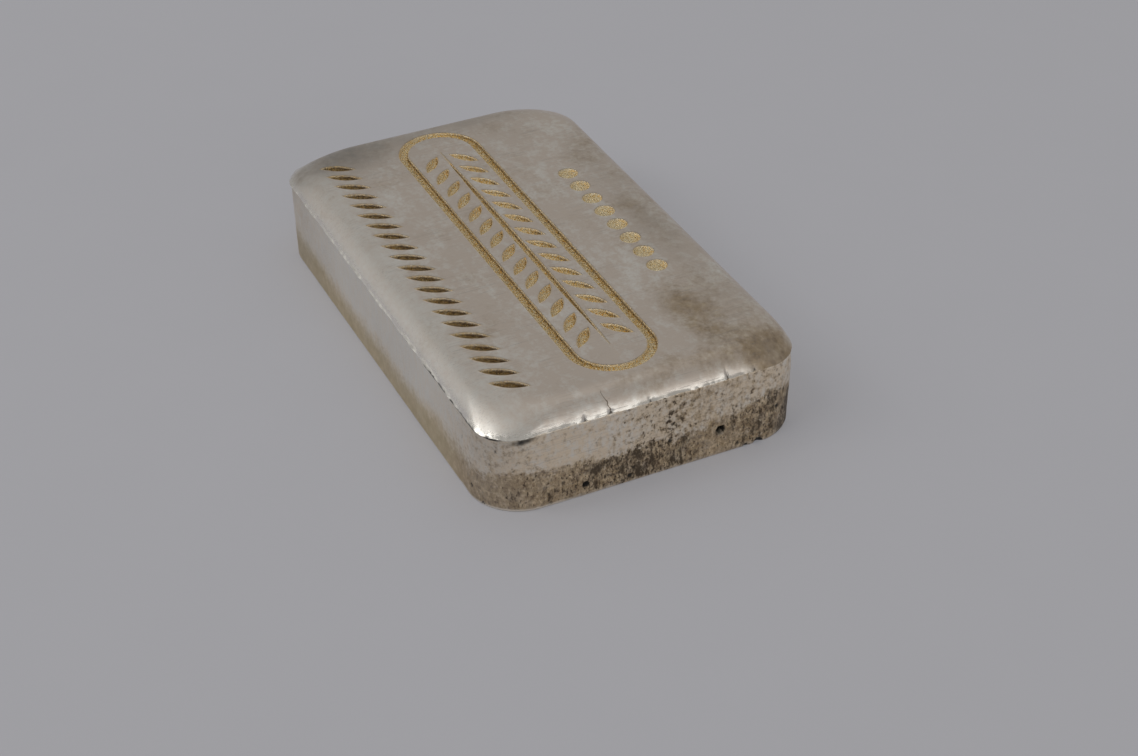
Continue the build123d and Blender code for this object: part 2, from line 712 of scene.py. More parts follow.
@dataclass(frozen=True)
class Wear:
    """Flaws, toning and painted shade of this casting, in millimetres in the bar's frame."""

    # Holes and chips in the +X end, and tears in its lip
    pits: tuple[Pit, ...] = (
        Pit((32.6, 8.4, 3.25), 0.66, 1.5),
        Pit((32.7, -8.1, 1.5), 0.45, 0.6),
        Pit((33.0, 11.6, 0.0), 0.5, 0.22),
        Pit((33.0, 13.2, 0.0), 0.75, 0.35),
    )
    nicks: tuple[Nick, ...] = (
        Nick(-8.0, 0.22, 0.55, 0.2),
        Nick(-5.0, 0.4, 0.3, 0.16),
        Nick(-0.3, 0.2, 0.5, 0.16),
        Nick(9.15, 0.16, 0.9, 0.26),
        Nick(12.5, 0.2, 0.5, 0.2),
    )
    # Crack that runs in from the +X end
    crack_start: tuple[float, float] = (30.75, -5.6)
    crack_end: tuple[float, float] = (32.8, -4.95)
    crack_width: float = 0.16
    crack_depth: float = 0.05
    # Width of the painted shade line along the crack, at its start and its end
    crack_shade_width: tuple[float, float] = (0.05, 0.13)
    crack_opening: float = 1.6
    crack_tail: float = 0.4
    # Painted shadow of a fold below the lip, and painted shade in the crevice under it
    lap_y: float = -15.6
    lap_width: float = 1.9
    lap_drop: float = 0.48
    lap_height: float = 0.45
    lap_darkness: float = 0.55
    crevice_shade: WallValue = WallValue(
        end=Profile((-19.0, -15.0, -13.0, 12.0, 15.0, 19.0), (0.72, 0.62, 0.3, 0.25, 0.4, 0.9)),
        side=Profile((-33.0, 5.0, 14.0, 20.0, 29.0, 33.0), (0.1, 0.3, 0.6, 0.9, 0.95, 0.95)),
        far=0.3,
    )
    crevice_shade_drop: WallValue = WallValue(Profile.steady(0.15), Profile.steady(0.32), far=0.2)
    # Smoky stains on the top
    stains: tuple[Stain, ...] = (
        Stain(32.0, 16.0, 2.6, 3.4, 1.6, 0.12),
        Stain(32.2, 18.0, 1.2, 1.4, 0.8),
        Stain(29.0, 13.5, 4.0, 4.0, 0.44, 0.15),
        Stain(28.0, 9.5, 3.6, 3.0, 0.4, 0.2),
        Stain(30.8, 0.0, 1.5, 9.0, 0.26),
        Stain(20.5, 9.8, 3.6, 2.6, 1.0, 0.2),
        Stain(21.0, 15.0, 6.0, 2.6, 0.5, 0.4),
        Stain(-28.5, -13.0, 4.4, 7.0, 1.3, 0.75),
        Stain(-30.0, 1.0, 2.2, 12.0, 0.5, 0.9),
        Stain(4.0, 15.0, 9.0, 2.8, 0.8, 0.5),
        Stain(-14.0, 15.5, 9.0, 2.6, 0.42, 0.5),
        Stain(-26.0, 8.0, 5.0, 4.0, 0.2, 0.7),
        Stain(25.0, -10.5, 3.0, 2.0, 0.1),
        Stain(5.0, -8.0, 7.0, 2.0, 0.12),
    )
    # Tarnish of the walls: thin haze, height of the tide line, its fade, and soot
    haze: WallValue = WallValue(
        end=Profile((-19.0, -12.0, -8.0, -4.0, 0.0, 3.0, 6.0, 10.0, 14.0, 19.0),
                    (0.4, 0.2, 0.14, 0.28, 0.4, 0.54, 0.48, 0.44, 0.4, 0.3)),
        side=Profile((-33.0, -24.0, -14.0, 15.0, 24.0, 33.0), (0.25, 0.15, 0.06, 0.05, 0.12, 0.28)),
        far=0.08,
    )
    tarnish_height: WallValue = WallValue(
        end=Profile((-19.0, -15.8, -11.0, -5.0, 0.0, 6.0, 10.8, 14.5, 19.0),
                    (5.2, 5.0, 4.6, 4.5, 4.7, 4.3, 5.4, 6.2, 6.4)),
        side=Profile((-33.0, -12.0, 5.0, 13.0, 24.0, 33.0), (4.8, 3.1, 3.3, 3.5, 4.8, 5.2)),
        far=4.2,
    )
    tarnish_fade: WallValue = WallValue(Profile.steady(1.8), Profile.steady(5.6), far=3.0)
    soot: WallValue = WallValue(
        end=Profile((-19.0, -14.0, -8.0, -3.0, 2.0, 7.0, 12.0, 17.0),
                    (0.62, 0.56, 0.68, 0.94, 0.84, 0.5, 0.74, 0.74)),
        side=Profile((18.0, 26.0, 33.0), (0.04, 0.25, 0.4)),
        far=0.3,
    )
    # Warm film and grey film
    film: WallValue = WallValue(
        end=Profile.steady(1.0),
        side=Profile((-33.0, -24.0, -12.0, 15.0, 24.0, 33.0), (0.5, 0.35, 0.1, 0.12, 0.4, 0.9)),
        far=0.5,
    )
    film_on_top: Profile = Profile((-19.4, -17.0, -14.0, -11.0, 19.4), (0.4, 0.48, 0.78, 0.95, 1.0))
    grey: WallValue = WallValue(
        end=Profile((-19.0, -15.0, -11.0), (0.3, 0.1, 0.0)),
        side=Profile((-33.0, -25.0, -12.0, 5.0, 15.0, 24.0, 29.0, 33.0),
                     (0.4, 0.32, 0.1, 0.15, 0.1, 0.18, 0.38, 0.38)),
        far=0.15,
    )
    # Painted dark reflection low on the blunt corner between the +X end and the +Y side
    corner_shade_grey: float = 0.4
    corner_shade_black: float = 1.0
    corner_shade_top: float = 7.5
    corner_shade_fade: float = 4.0
    corner_shade_turn: float = 0.1
    corner_shade_turn_fade: float = 0.4
    corner_shade_far_fade: float = 0.6
    corner_shade_narrowing: float = 0.04
    # Foot edge rubbed bare
    bare_foot: WallValue = WallValue(
        end=Profile((-19.0, -10.0, -4.0, 19.0), (1.0, 0.85, 0.3, 0.25)),
        side=Profile((15.0, 26.0, 33.0), (0.15, 0.8, 1.0)),
        far=0.3,
    )
    # Small casting pits, which most of the -Y side is free of
    small_pits: int = 90
    small_pit_radius: tuple[float, float] = (0.18, 0.34)
    small_pit_depth: float = 0.5
    small_pit_margin: float = 1.0
    pitted_from_x: float = 25.0
    pitted_from_y: float = -18.0
    seed: int = 5

    def scattered_pits(self, form: BarForm) -> list[Pit]:
        """Small casting pits, most of them low on the walls.

        Args:
            form: Plain form of the bar.

        Returns:
            The pits.
        """
        rng = np.random.default_rng(self.seed)
        reach = form.crease_height - self.small_pit_margin
        heights = form.foot_bevel + reach * rng.random(self.small_pits) ** 2
        shares = rng.random(self.small_pits)
        radii = rng.uniform(*self.small_pit_radius, self.small_pits)
        quarters = rng.integers(0, len(QUARTER_SIGNS), self.small_pits)
        pits = []
        for z, share, radius, quarter in zip(heights, shares, radii, quarters):
            x, y = form.wall_outline(z).quarter(np.array([share]))[0] * QUARTER_SIGNS[quarter]
            if y > self.pitted_from_y or x > self.pitted_from_x:
                pits.append(Pit((x, y, z), radius, radius * self.small_pit_depth))
        return pits

    def crack(self, points: Array) -> Array:
        """How deep each point lies in the crack at the +X end.

        Args:
            points: x, y, z rows.

        Returns:
            One share from 0 to 1 for each row.
        """
        start = np.array(self.crack_start)
        way = np.array(self.crack_end) - start
        length = hypot(*way)
        offset = points[:, :2] - start
        along = offset @ way / length
        across = (offset[:, 0] * way[1] - offset[:, 1] * way[0]) / length
        open_share = ease(along / length * self.crack_opening)
        inside = ease((length + self.crack_tail - along) / self.crack_tail)
        return bump(across, self.crack_width) * open_share * inside

    def painted_corner_shade(self, points: Array, facing: Array) -> Array:
        """Painted dark reflection low on the blunt corner between the +X end and the +Y side, wider at the
        foot.

        Args:
            points: x, y, z rows on the wall.
            facing: Outward x, y directions of the wall.

        Returns:
            One share from 0 to 1 for each row.
        """
        start = self.corner_shade_turn + self.corner_shade_narrowing * points[:, 2]
        turned = ease((facing[:, 1] - start) / self.corner_shade_turn_fade)
        turned *= ease(facing[:, 0] / self.corner_shade_far_fade)
        return turned * ease((self.corner_shade_top - points[:, 2]) / self.corner_shade_fade)

    def wall_soot_and_shade(self, points: Array, facing: Array) -> Array:
        """How black and speckled the tarnish of the wall is, with the painted dark reflection on the blunt
        corner.
        """
        corner = self.corner_shade_black * self.painted_corner_shade(points, facing)
        return np.maximum(self.soot.at(points, facing), corner)

    def wall_grey_and_shade(self, points: Array, facing: Array) -> Array:
        """How smoky grey the wall is, with the painted dark reflection on the blunt corner."""
        corner = self.corner_shade_grey * self.painted_corner_shade(points, facing)
        return np.maximum(self.grey.at(points, facing), corner)

    def top_tarnish(self, points: Array) -> Array:
        """How brown each point of the top is, from 0 to 1."""
        shares = (stain.share(points) * (1.0 - stain.grey) for stain in self.stains)
        return np.clip(sum(shares), 0.0, 1.0)

    def top_grey(self, points: Array) -> Array:
        """How grey each point of the top is, from 0 to 1."""
        return np.clip(sum(stain.share(points) * stain.grey for stain in self.stains), 0.0, 1.0)


class Skin:
    """Points, faces and masks of one mesh while it is being built."""

    def __init__(self) -> None:
        """Starts with nothing."""
        self.points: list[Array] = []
        self.masks: dict[Mask, list[Array]] = {mask: [] for mask in Mask}
        self.faces: list[tuple[int, ...]] = []
        self.count = 0

    def add(self, points: Array, masks: dict[Mask, Array]) -> int:
        """Adds points with their masks.

        Args:
            points: x, y, z rows in millimetres.
            masks: Values for each row. A mask left out is 0.

        Returns:
            Index of the first new point.
        """
        first = self.count
        self.points.append(points)
        for mask in Mask:
            self.masks[mask].append(masks.get(mask, np.zeros(len(points))))
        self.count += len(points)
        return first

    def band(self, lower: int, upper: int, count: int) -> None:
        """Joins two loops of points by a band of four-sided faces.

        Args:
            lower: Index of the first point of the lower loop.
            upper: Index of the first point of the upper loop.
            count: Number of points in each loop.
        """
        here = np.arange(count)
        following = (here + 1) % count
        quads = np.column_stack((lower + here, lower + following, upper + following, upper + here))
        self.faces.extend(map(tuple, quads.tolist()))

    def cover(self, triangles: list[list[int]], index: Array) -> None:
        """Adds triangles whose corners an index turns into points of the skin."""
        self.faces.extend(tuple(int(index[corner]) for corner in face) for face in triangles)

    def mesh(self, name: str, sharp_angle: float) -> bpy.types.Mesh:
        """Makes the Blender mesh in metres.

        Args:
            name: Name of the mesh.
            sharp_angle: Angle between faces from which an edge shows sharp.

        Returns:
            The mesh, with each mask as a point attribute.
        """
        mesh = bpy.data.meshes.new(name)
        mesh.from_pydata((np.vstack(self.points) * MM).tolist(), [], self.faces)
        for mask, values in self.masks.items():
            attribute = mesh.attributes.new(mask.value, "FLOAT", "POINT")
            attribute.data.foreach_set("value", np.concatenate(values).astype(np.float32))
        mesh.shade_smooth()
        mesh.set_sharp_from_angle(angle=sharp_angle)
        mesh.validate()
        return mesh


@dataclass(frozen=True)
class Sheet:
    """Way of filling a flat loop, which the skin already has, with triangles."""

    merge_distance: float = 1e-5
    inside_only: int = 1

    def triangles(self, points: Array, lines: list[tuple[int, int]],
                  edge: range) -> tuple[Array, Array, list[list[int]]]:
        """Fills the loop.

        Args:
            points: x, y rows, the loop's own rows first.
            lines: Pairs of rows that the triangles keep to.
            edge: Indices in the skin of the loop's points.

        Returns:
            The rows, the index in the skin of each row or -1 where it is new, and the triangles.
        """
        result = delaunay_2d_cdt(points.tolist(), lines, [], self.inside_only, self.merge_distance)
        flat = np.array([tuple(point) for point in result[0]])
        index = np.full(len(flat), -1)
        for number, origin in enumerate(result[3]):
            kept = [source for source in origin if source < len(edge)]
            if kept:
                index[number] = edge[kept[0]]
        return flat, index, result[2]


@dataclass
class StampedTop:
    """Top of the bar inside the rolled edge, with its stamped marks, in millimetres."""

    form: BarForm
    marks: list[Mark]
    wear: Wear
    grain: Grain
    # Spacing of the points, and the gaps that they keep
    field_spacing: float = 0.55
    rim_spacing: float = 0.34
    mark_spacing: float = 0.2
    bed_spacing: float = 0.24
    jitter: float = 0.22
    mark_clearance: float = 0.32
    edge_clearance: float = 0.22
    bed_clearance: float = 0.1
    rim_overlap: float = 0.4
    # Section of a mark, from its raised shoulder to its bed
    mouth_offsets: tuple[float, float] = (0.06, -0.04)
    middle_share: float = 0.55
    shoulder_height: float = 0.03
    shoulder_width: float = 0.22
    wall_softness: float = 1.2
    bed_roughness: float = 0.07
    bed_lump: float = 0.45
    # Toning of the marks' walls, and painted shade on the walls that face -Y
    toning_lead: float = 0.35
    wall_darkness: float = 0.1
    wall_middle: float = 0.55
    wall_spread: float = 0.4
    far_wall_shade_strength: float = 0.95
    far_wall_shade_step: float = 0.02
    far_wall_shade_middle: float = 0.6
    far_wall_shade_spread: float = 0.45
    # Slow unevenness of the whole top
    unevenness: Ripple = Ripple((0.05, 0.018), (13.0, 4.0))
    sheet: Sheet = Sheet()
    seed: int = 23

    def loop_offsets(self, mark: Mark) -> tuple[float, ...]:
        """Offsets from a mark's mouth at which its shape needs points."""
        run = mark.wall_run * self.wall_softness
        return (self.shoulder_width, *self.mouth_offsets, -run * self.middle_share, -run)

    def sway(self, points: Array) -> Array:
        """Height of the slow unevenness of the cast top at x, y rows."""
        return self.unevenness.at(self.grain, np.column_stack((points, np.zeros(len(points)))))

    def nearest(self, points: Array) -> tuple[Array, Array]:
        """Finds the mark nearest to each point.

        Args:
            points: x, y rows.

        Returns:
            The signed distance from the nearest mark, and that mark's index.
        """
        distances = np.array([mark.distance(points) for mark in self.marks])
        index = np.argmin(distances, axis=0)
        return distances[index, np.arange(len(points))], index

    def wall_runs(self, index: Array) -> Array:
        """Width of the softened wall of each indexed mark, seen from above."""
        return np.array([mark.wall_run for mark in self.marks])[index] * self.wall_softness

    def far_wall_shade(self, points: Array, sunk: Array) -> Array:
        """How far each point lies on the wall of a mark that faces -Y, where shade is painted.

        Args:
            points: x, y rows.
            sunk: How deep each row lies in its mark, from 0 to 1.

        Returns:
            One share from 0 to 1 for each row.
        """
        step = (0.0, self.far_wall_shade_step)
        climb = self.nearest(points + step)[0] - self.nearest(points - step)[0]
        slope = np.clip(climb / (2 * self.far_wall_shade_step), 0.0, 1.0)
        return slope * bump(sunk - self.far_wall_shade_middle, self.far_wall_shade_spread)

    def relief(self, points: Array) -> tuple[Array, dict[Mask, Array]]:
        """Shape and masks that the marks press into the top.

        Args:
            points: x, y rows.

        Returns:
            The height above the plain top, and the masks.
        """
        distance, index = self.nearest(points)
        depth = np.array([mark.depth for mark in self.marks])[index]
        run = self.wall_runs(index)
        darkness = np.array([mark.darkness for mark in self.marks])[index]
        sunk = ease(-distance / run)
        flat = np.column_stack((points, np.zeros(len(points))))
        rough = self.bed_roughness * self.grain.at(flat, self.bed_lump) * sunk
        shoulder = self.shoulder_height * bump(np.maximum(distance, 0.0), self.shoulder_width)
        height = shoulder * (1.0 - sunk) - depth * sunk + rough
        toned = ease(-distance / run + self.toning_lead)
        dark = darkness + self.wall_darkness * bump(sunk - self.wall_middle, self.wall_spread)
        # Painted shade on the walls that face -Y
        dark = np.clip(dark + self.far_wall_shade_strength * self.far_wall_shade(points, sunk), -1.0, 1.0)
        return height, {Mask.GROOVE: toned, Mask.DARK: dark * toned}

    def grid(self, spacing: float) -> Array:
        """Jittered grid of points over the whole top.

        Args:
            spacing: Distance between points.

        Returns:
            x, y rows.
        """
        rng = np.random.default_rng(self.seed)
        across = np.arange(-self.form.width / 2, self.form.width / 2, spacing)
        along = np.arange(-self.form.length / 2, self.form.length / 2, spacing)
        mesh_x, mesh_y = np.meshgrid(along, across)
        mesh_x[1::2] += spacing / 2
        points = np.column_stack((mesh_x.ravel(), mesh_y.ravel()))
        return points + rng.uniform(-self.jitter, self.jitter, points.shape) * spacing

    def plan(self, edge: Array, edge_outline: Outline) -> tuple[Array, list[tuple[int, int]]]:
        """Chooses the points of the top and the lines that its triangles keep to.

        Args:
            edge: x, y rows of the loop that the top ends at.
            edge_outline: Outline on which that loop lies.

        Returns:
            The points, the edge first, and pairs of indices of the kept lines.
        """
        loops = [edge]
        for mark in self.marks:
            for offset in self.loop_offsets(mark):
                loops.extend(mark.loops(offset, self.mark_spacing))
        lines = []
        first = 0
        for loop in loops:
            here = np.arange(len(loop))
            lines.extend(zip((first + here).tolist(), (first + (here + 1) % len(loop)).tolist()))
            first += len(loop)
        return np.vstack(loops + self.fill(edge_outline)), lines

    def fill(self, edge_outline: Outline) -> list[Array]:
        """Points between the marks, on the rolled edge and in the beds of the marks.

        Args:
            edge_outline: Outline that the top ends at.

        Returns:
            Groups of x, y rows.
        """
        top = self.form.rim_outline(1.0)
        groups = []
        for spacing in (self.field_spacing, self.rim_spacing, self.bed_spacing):
            points = self.grid(spacing)
            points = points[edge_outline.distance(points) < -self.edge_clearance]
            distance, index = self.nearest(points)
            on_rim = top.distance(points) > -self.rim_overlap
            clear = distance > self.mark_clearance
            if spacing == self.field_spacing:
                groups.append(points[clear & ~on_rim])
            elif spacing == self.rim_spacing:
                groups.append(points[clear & on_rim])
            else:
                groups.append(points[distance < -self.wall_runs(index) - self.bed_clearance])
        return groups

    def build(self, skin: Skin, edge: Array, edge_first: int, edge_outline: Outline) -> None:
        """Adds the top to the skin.

        Args:
            skin: Mesh being built.
            edge: x, y rows of the loop that the top ends at.
            edge_first: Index in the skin of that loop's first point.
            edge_outline: Outline on which that loop lies.
        """
        points, lines = self.plan(edge, edge_outline)
        edge_range = range(edge_first, edge_first + len(edge))
        flat, index, triangles = self.sheet.triangles(points, lines, edge_range)
        new = index < 0
        inner = flat[new]
        height, masks = self.relief(inner)
        solid = np.column_stack((inner, self.form.top_height(inner) + self.sway(inner) + height))
        solid[:, 2] -= self.wear.crack_depth * self.wear.crack(solid)
        masks[Mask.FILM] = self.wear.film_on_top.at(solid[:, 1])
        masks[Mask.TARNISH] = self.wear.top_tarnish(solid)
        masks[Mask.GREY_AND_SHADE] = self.wear.top_grey(solid)
        index[new] = skin.add(solid, masks) + np.arange(new.sum())
        skin.cover(triangles, index)


@dataclass
class RingStack:
    """Loops of the bar from its foot up over the lip, before flaws."""

    form: BarForm
    stations: Stations
    bevel_share: float = 0.3
    wall_spacing: float = 0.24
    crevice_drops: tuple[float, ...] = (0.5, 0.4, 0.3, 0.2, 0.09)
    crevice_insets: tuple[float, ...] = (0.0, 0.0, 0.01, 0.04, 0.16)
    lip_under_drop: float = 0.05
    lip_under_inset: float = 0.04
    rim_rings: int = 15
    rim_end: float = 0.5
    rim_gather: float = 1.6

    def edge_outline(self) -> Outline:
        """Outline at which the rings end and the top begins."""
        return self.form.rim_outline(self.rim_end)

    def levels(self) -> list[tuple[Outline, float]]:
        """Outline and height of each ring, from the foot up.

        Returns:
            The rings' outlines and heights.
        """
        form = self.form
        crease = form.crease_height
        radius = form.foot_corner_radius
        bevel = form.foot_bevel
        rounded = bevel * self.bevel_share
        rings = [(form.outline(bevel, radius - bevel), 0.0)]
        rings.append((form.outline(rounded, radius - rounded), rounded))
        wall_top = crease - self.crevice_drops[0]
        steps = ceil((wall_top - bevel) / self.wall_spacing)
        for z in np.linspace(bevel, wall_top, steps, endpoint=False):
            rings.append((form.wall_outline(z), z))
        for drop, inset in zip(self.crevice_drops, self.crevice_insets):
            z = crease - drop
            rings.append((form.outline(form.wall_lean + inset, form.crease_corner_radius), z))
        lip = form.wall_lean - form.rim_lip
        under = form.outline(lip + self.lip_under_inset, form.crease_corner_radius)
        rings.append((under, crease - self.lip_under_drop))
        for roll in self.rim_end * np.linspace(0.0, 1.0, self.rim_rings) ** self.rim_gather:
            rings.append((form.rim_outline(roll), float(form.rim_height(roll))))
        return rings

    def loops(self) -> tuple[Array, Array]:
        """Points and outward directions of all rings.

        Returns:
            Points as rings by stations by x, y, z, and directions as rings by stations by x, y.
        """
        points = []
        facings = []
        for outline, z in self.levels():
            loop = outline.loop(self.stations)
            along = np.roll(loop, -1, axis=0) - np.roll(loop, 1, axis=0)
            facing = np.column_stack((along[:, 1], -along[:, 0]))
            facings.append(facing / np.linalg.norm(facing, axis=1, keepdims=True))
            points.append(np.column_stack((loop, np.full(len(loop), z))))
        return np.array(points), np.array(facings)


@dataclass
class CastRings:
    """Walls, lip and rim as rows of points, with the unevenness and flaws of the casting.

    Sizes are in millimetres. The rows hold x, y, z, and the facings hold outward x, y directions.
    """

    form: BarForm
    wear: Wear
    grain: Grain
    rings: Array
    facings: Array
    # Waves of the walls
    wall_end: float = 0.06
    wall_fade: float = 0.2
    wall_waves: Ripple = Ripple((0.05, 0.022, 0.014), (7.0, 1.6, 0.5))
    wave_foot: float = 0.6
    # Ragged lip, with its burr
    lip_out: Ripple = Ripple((0.05, 0.035, 0.03), (2.6, 0.8, 0.33))
    lip_up: Ripple = Ripple((0.08, 0.05, 0.05), (2.6, 0.8, 0.33))
    lip_up_layer: float = 40.0
    lip_fade: float = 0.2
    lip_fade_below: float = 0.12
    burr: float = 0.07
    burr_fade: float = 0.13
    burr_patches: Patches = Patches(1.3, 0.8, 0.7, 1.5)
    # Blunt corner
    blunt_corner: tuple[float, float] = (31.4, 18.0)
    blunt_reach: float = 3.4
    blunt_rise: float = 1.3
    blunt_in: float = 0.3
    blunt_drop: float = 0.14
    # Pits, nicks and crack, with the painted highlight on the large pit's lower edge and the painted shade
    # in the nicks
    lit_lip_share: float = 0.8
    nick_start: float = 0.3
    nick_fade: float = 0.2
    nick_shade: float = 0.55
    crack_rise: float = 0.1
    crack_share: float = 0.7
    # Painted shade under the lip, on its edge and in the fold
    crevice_shade_patches: Patches = Patches(1.1, 0.75, 0.6)
    crevice_shade_spread: float = 0.1
    edge_rise: float = 0.03
    edge_spread: float = 0.09
    edge_from: float = 0.35
    edge_fade: float = 0.3
    edge_corner_loss: float = 0.5
    edge_patches: Patches = Patches(0.45, 0.7, 0.8)
    lap_patches: Patches = Patches(0.5, 1.0, 0.5, 1.2)
    # Tide line of the tarnish
    tide_wobble: Ripple = Ripple((0.8, 0.5), (2.4, 0.8))
    steady_soot: float = 0.4
    least_wobble: float = 0.4
    # Bare foot edge and worn rim
    bare_height: float = 0.14
    bare_patches: Patches = Patches(1.7, 0.8, 0.6)
    bare_clean: float = 0.85
    bare_worn: float = 0.9
    worn_rise: float = 0.1
    worn_spread: float = 0.5

    def __post_init__(self) -> None:
        """Measures the rows from the crease, and starts with no flaw."""
        crease = self.form.crease_height
        self.z = self.rings[:, 2]
        self.above = np.maximum(self.z - crease, 0.0)
        self.below = np.maximum(crease - self.z, 0.0)
        self.on_wall = ease((crease - self.wall_end - self.z) / self.wall_fade)
        self.facing_end = np.maximum(self.facings[:, 0], 0.0) ** 2
        self.around = self.level(0.0)
        self.out = np.zeros(len(self.z))
        self.up = np.zeros(len(self.z))
        self.painted_shade = np.zeros(len(self.z))

    def level(self, z: float) -> Array:
        """The rows brought to one height, for flaws that run straight up."""
        return np.column_stack((self.rings[:, :2], np.full(len(self.rings), z)))

    def ripple(self) -> None:
        """Waves the walls and makes the lip ragged."""
        standing = ease(self.z / self.wave_foot)
        self.out += self.on_wall * standing * self.wall_waves.at(self.grain, self.rings)
        by_lip = bump(self.above, self.lip_fade) * bump(self.below, self.lip_fade_below)
        self.out += by_lip * self.lip_out.at(self.grain, self.around)
        self.up += by_lip * self.lip_up.at(self.grain, self.level(self.lip_up_layer))

    def burr_and_blunt(self) -> None:
        """Leaves a burr along the lip, and presses the corner between the +X end and the +Y side."""
        blunt = bump(np.hypot(*(self.rings[:, :2] - self.blunt_corner).T), self.blunt_reach)
        burr = bump(self.above, self.burr_fade) * bump(self.below, self.burr_fade) * (1.0 - blunt)
        self.out += self.burr * burr * self.burr_patches.at(self.grain, self.around)
        blunt *= bump(self.above, self.blunt_rise) * bump(self.below, self.blunt_rise)
        self.out -= self.blunt_in * blunt
        self.up -= self.blunt_drop * blunt

    def pit(self) -> None:
        """Sinks the pits into the walls, and paints shade in them."""
        for pit in (*self.wear.pits, *self.wear.scattered_pits(self.form)):
            self.out -= pit.depth * pit.share(self.rings)
            self.painted_shade = np.maximum(self.painted_shade, pit.darkness(self.rings))
        self.painted_shade *= 1.0 - self.lit_lip_share * self.lit_lip()

    def lit_lip(self) -> Array:
        """How near each row lies to the lower edge of the large pit, where a highlight is painted."""
        return self.wear.pits[0].lower_lip(self.rings)

    def tear(self) -> None:
        """Opens the nicks in the lip with painted shade in them, and the crack."""
        crease = self.form.crease_height
        for nick in self.wear.nicks:
            share = nick.share(self.rings, crease) * self.facing_end
            share *= ease((self.z - crease + self.nick_start) / self.nick_fade)
            self.out -= nick.depth * share
            # Painted shade in the deepest part of each nick
            self.painted_shade = np.maximum(self.painted_shade, self.nick_shade * share**2)
        crack = self.wear.crack(self.rings) * ease((self.z - crease) / self.crack_rise)
        self.out -= self.wear.crack_depth * self.crack_share * crack
        self.up -= self.wear.crack_depth * self.crack_share * crack

    def crevice_shade(self) -> Array:
        """Painted shade in the crevice under the lip, and a painted dark line on the lip's edge where that
        shade is strongest.

        Returns:
            One share from 0 to 1 for each row.
        """
        over_crease = self.z - self.form.crease_height
        # Strength of the painted shade under the lip
        shade_strength = self.wear.crevice_shade.at(self.rings, self.facings)
        shade_strength *= self.crevice_shade_patches.at(self.grain, self.around)
        drop = self.wear.crevice_shade_drop.at(self.rings, self.facings)
        under = bump(-over_crease - drop, self.crevice_shade_spread)
        corner = 4.0 * (self.facings[:, 0] * self.facings[:, 1]) ** 2
        edge = bump(over_crease - self.edge_rise, self.edge_spread)
        edge *= ease((shade_strength - self.edge_from) / self.edge_fade) * (1.0 - self.edge_corner_loss * corner)
        edge *= self.edge_patches.at(self.grain, self.around)
        return shade_strength * np.maximum(under, edge)

    def lap(self) -> Array:
        """Shadow of the fold below the lip at the corner of the +X end and the -Y side.

        Returns:
            One share for each row.
        """
        middle = self.form.crease_height - self.wear.lap_drop
        lap = bump(self.rings[:, 1] - self.wear.lap_y, self.wear.lap_width) * self.facing_end
        lap *= self.wear.lap_darkness * bump(self.z - middle, self.wear.lap_height)
        return lap * self.lap_patches.at(self.grain, self.rings)

    def bare(self) -> Array:
        """How far the foot's edge is rubbed bare.

        Returns:
            One share from 0 to 1 for each row.
        """
        over_bevel = np.maximum(self.z - self.form.foot_bevel, 0.0)
        rubbed = self.wear.bare_foot.at(self.rings, self.facings)
        rubbed *= self.bare_patches.at(self.grain, self.around)
        return bump(over_bevel, self.bare_height) * rubbed

    def tarnish(self, soot: Array) -> Array:
        """Tarnish of the walls, below an unsteady tide line and as a thin haze above it.

        Args:
            soot: How sooty each row is. A clean wall has a steadier tide line.

        Returns:
            One share from 0 to 1 for each row.
        """
        line = self.wear.tarnish_height.at(self.rings, self.facings)
        unsteady = np.clip(soot / self.steady_soot, self.least_wobble, 1.0)
        line += unsteady * self.tide_wobble.at(self.grain, self.rings)
        low = ease((line - self.z) / self.wear.tarnish_fade.at(self.rings, self.facings) + 0.5)
        return np.maximum(low, self.wear.haze.at(self.rings, self.facings))

    def masks(self) -> dict[Mask, Array]:
        """Toning of the walls below the lip, and of the top above it.

        Returns:
            The masks of all rows.
        """
        wear = self.wear
        wall = self.on_wall > 0.5
        soot = wear.wall_soot_and_shade(self.rings, self.facings)
        bare = self.bare()
        low = self.tarnish(soot) * (1.0 - self.bare_clean * bare)
        wall_film = np.maximum(wear.film.at(self.rings, self.facings), low)
        tarnish = np.where(wall, low, wear.top_tarnish(self.rings))
        worn = (1.0 - self.on_wall) * bump(self.above - self.worn_rise, self.worn_spread) * (1.0 - tarnish)
        return {
            Mask.WALL: self.on_wall,
            Mask.FILM: np.where(wall, wall_film, wear.film_on_top.at(self.rings[:, 1])),
            Mask.TARNISH: tarnish,
            # Soot and grey film carry the painted dark reflection on the blunt corner
            Mask.SOOT_AND_SHADE: soot * self.on_wall * (1.0 - bare),
            # Painted shade in the pits, the nicks, the crevice under the lip and the fold
            Mask.PAINTED_SHADE: np.maximum.reduce((self.painted_shade, self.crevice_shade(), self.lap())),
            Mask.GREY_AND_SHADE: np.where(wall, wear.wall_grey_and_shade(self.rings, self.facings), wear.top_grey(self.rings)),
            # Worn rim and foot, and the painted highlight on the large pit's lower edge
            Mask.WORN_AND_LIT: np.maximum.reduce((worn, self.lit_lip(), self.bare_worn * bare)),
        }

    def flawed(self) -> tuple[Array, dict[Mask, Array]]:
        """Gives the plain rows all their flaws.

        Returns:
            The moved rows and their masks.
        """
        self.ripple()
        self.burr_and_blunt()
        self.pit()
        self.tear()
        moved = self.rings.copy()
        moved[:, :2] += self.facings * self.out[:, None]
        moved[:, 2] += self.up
        return moved, self.masks()


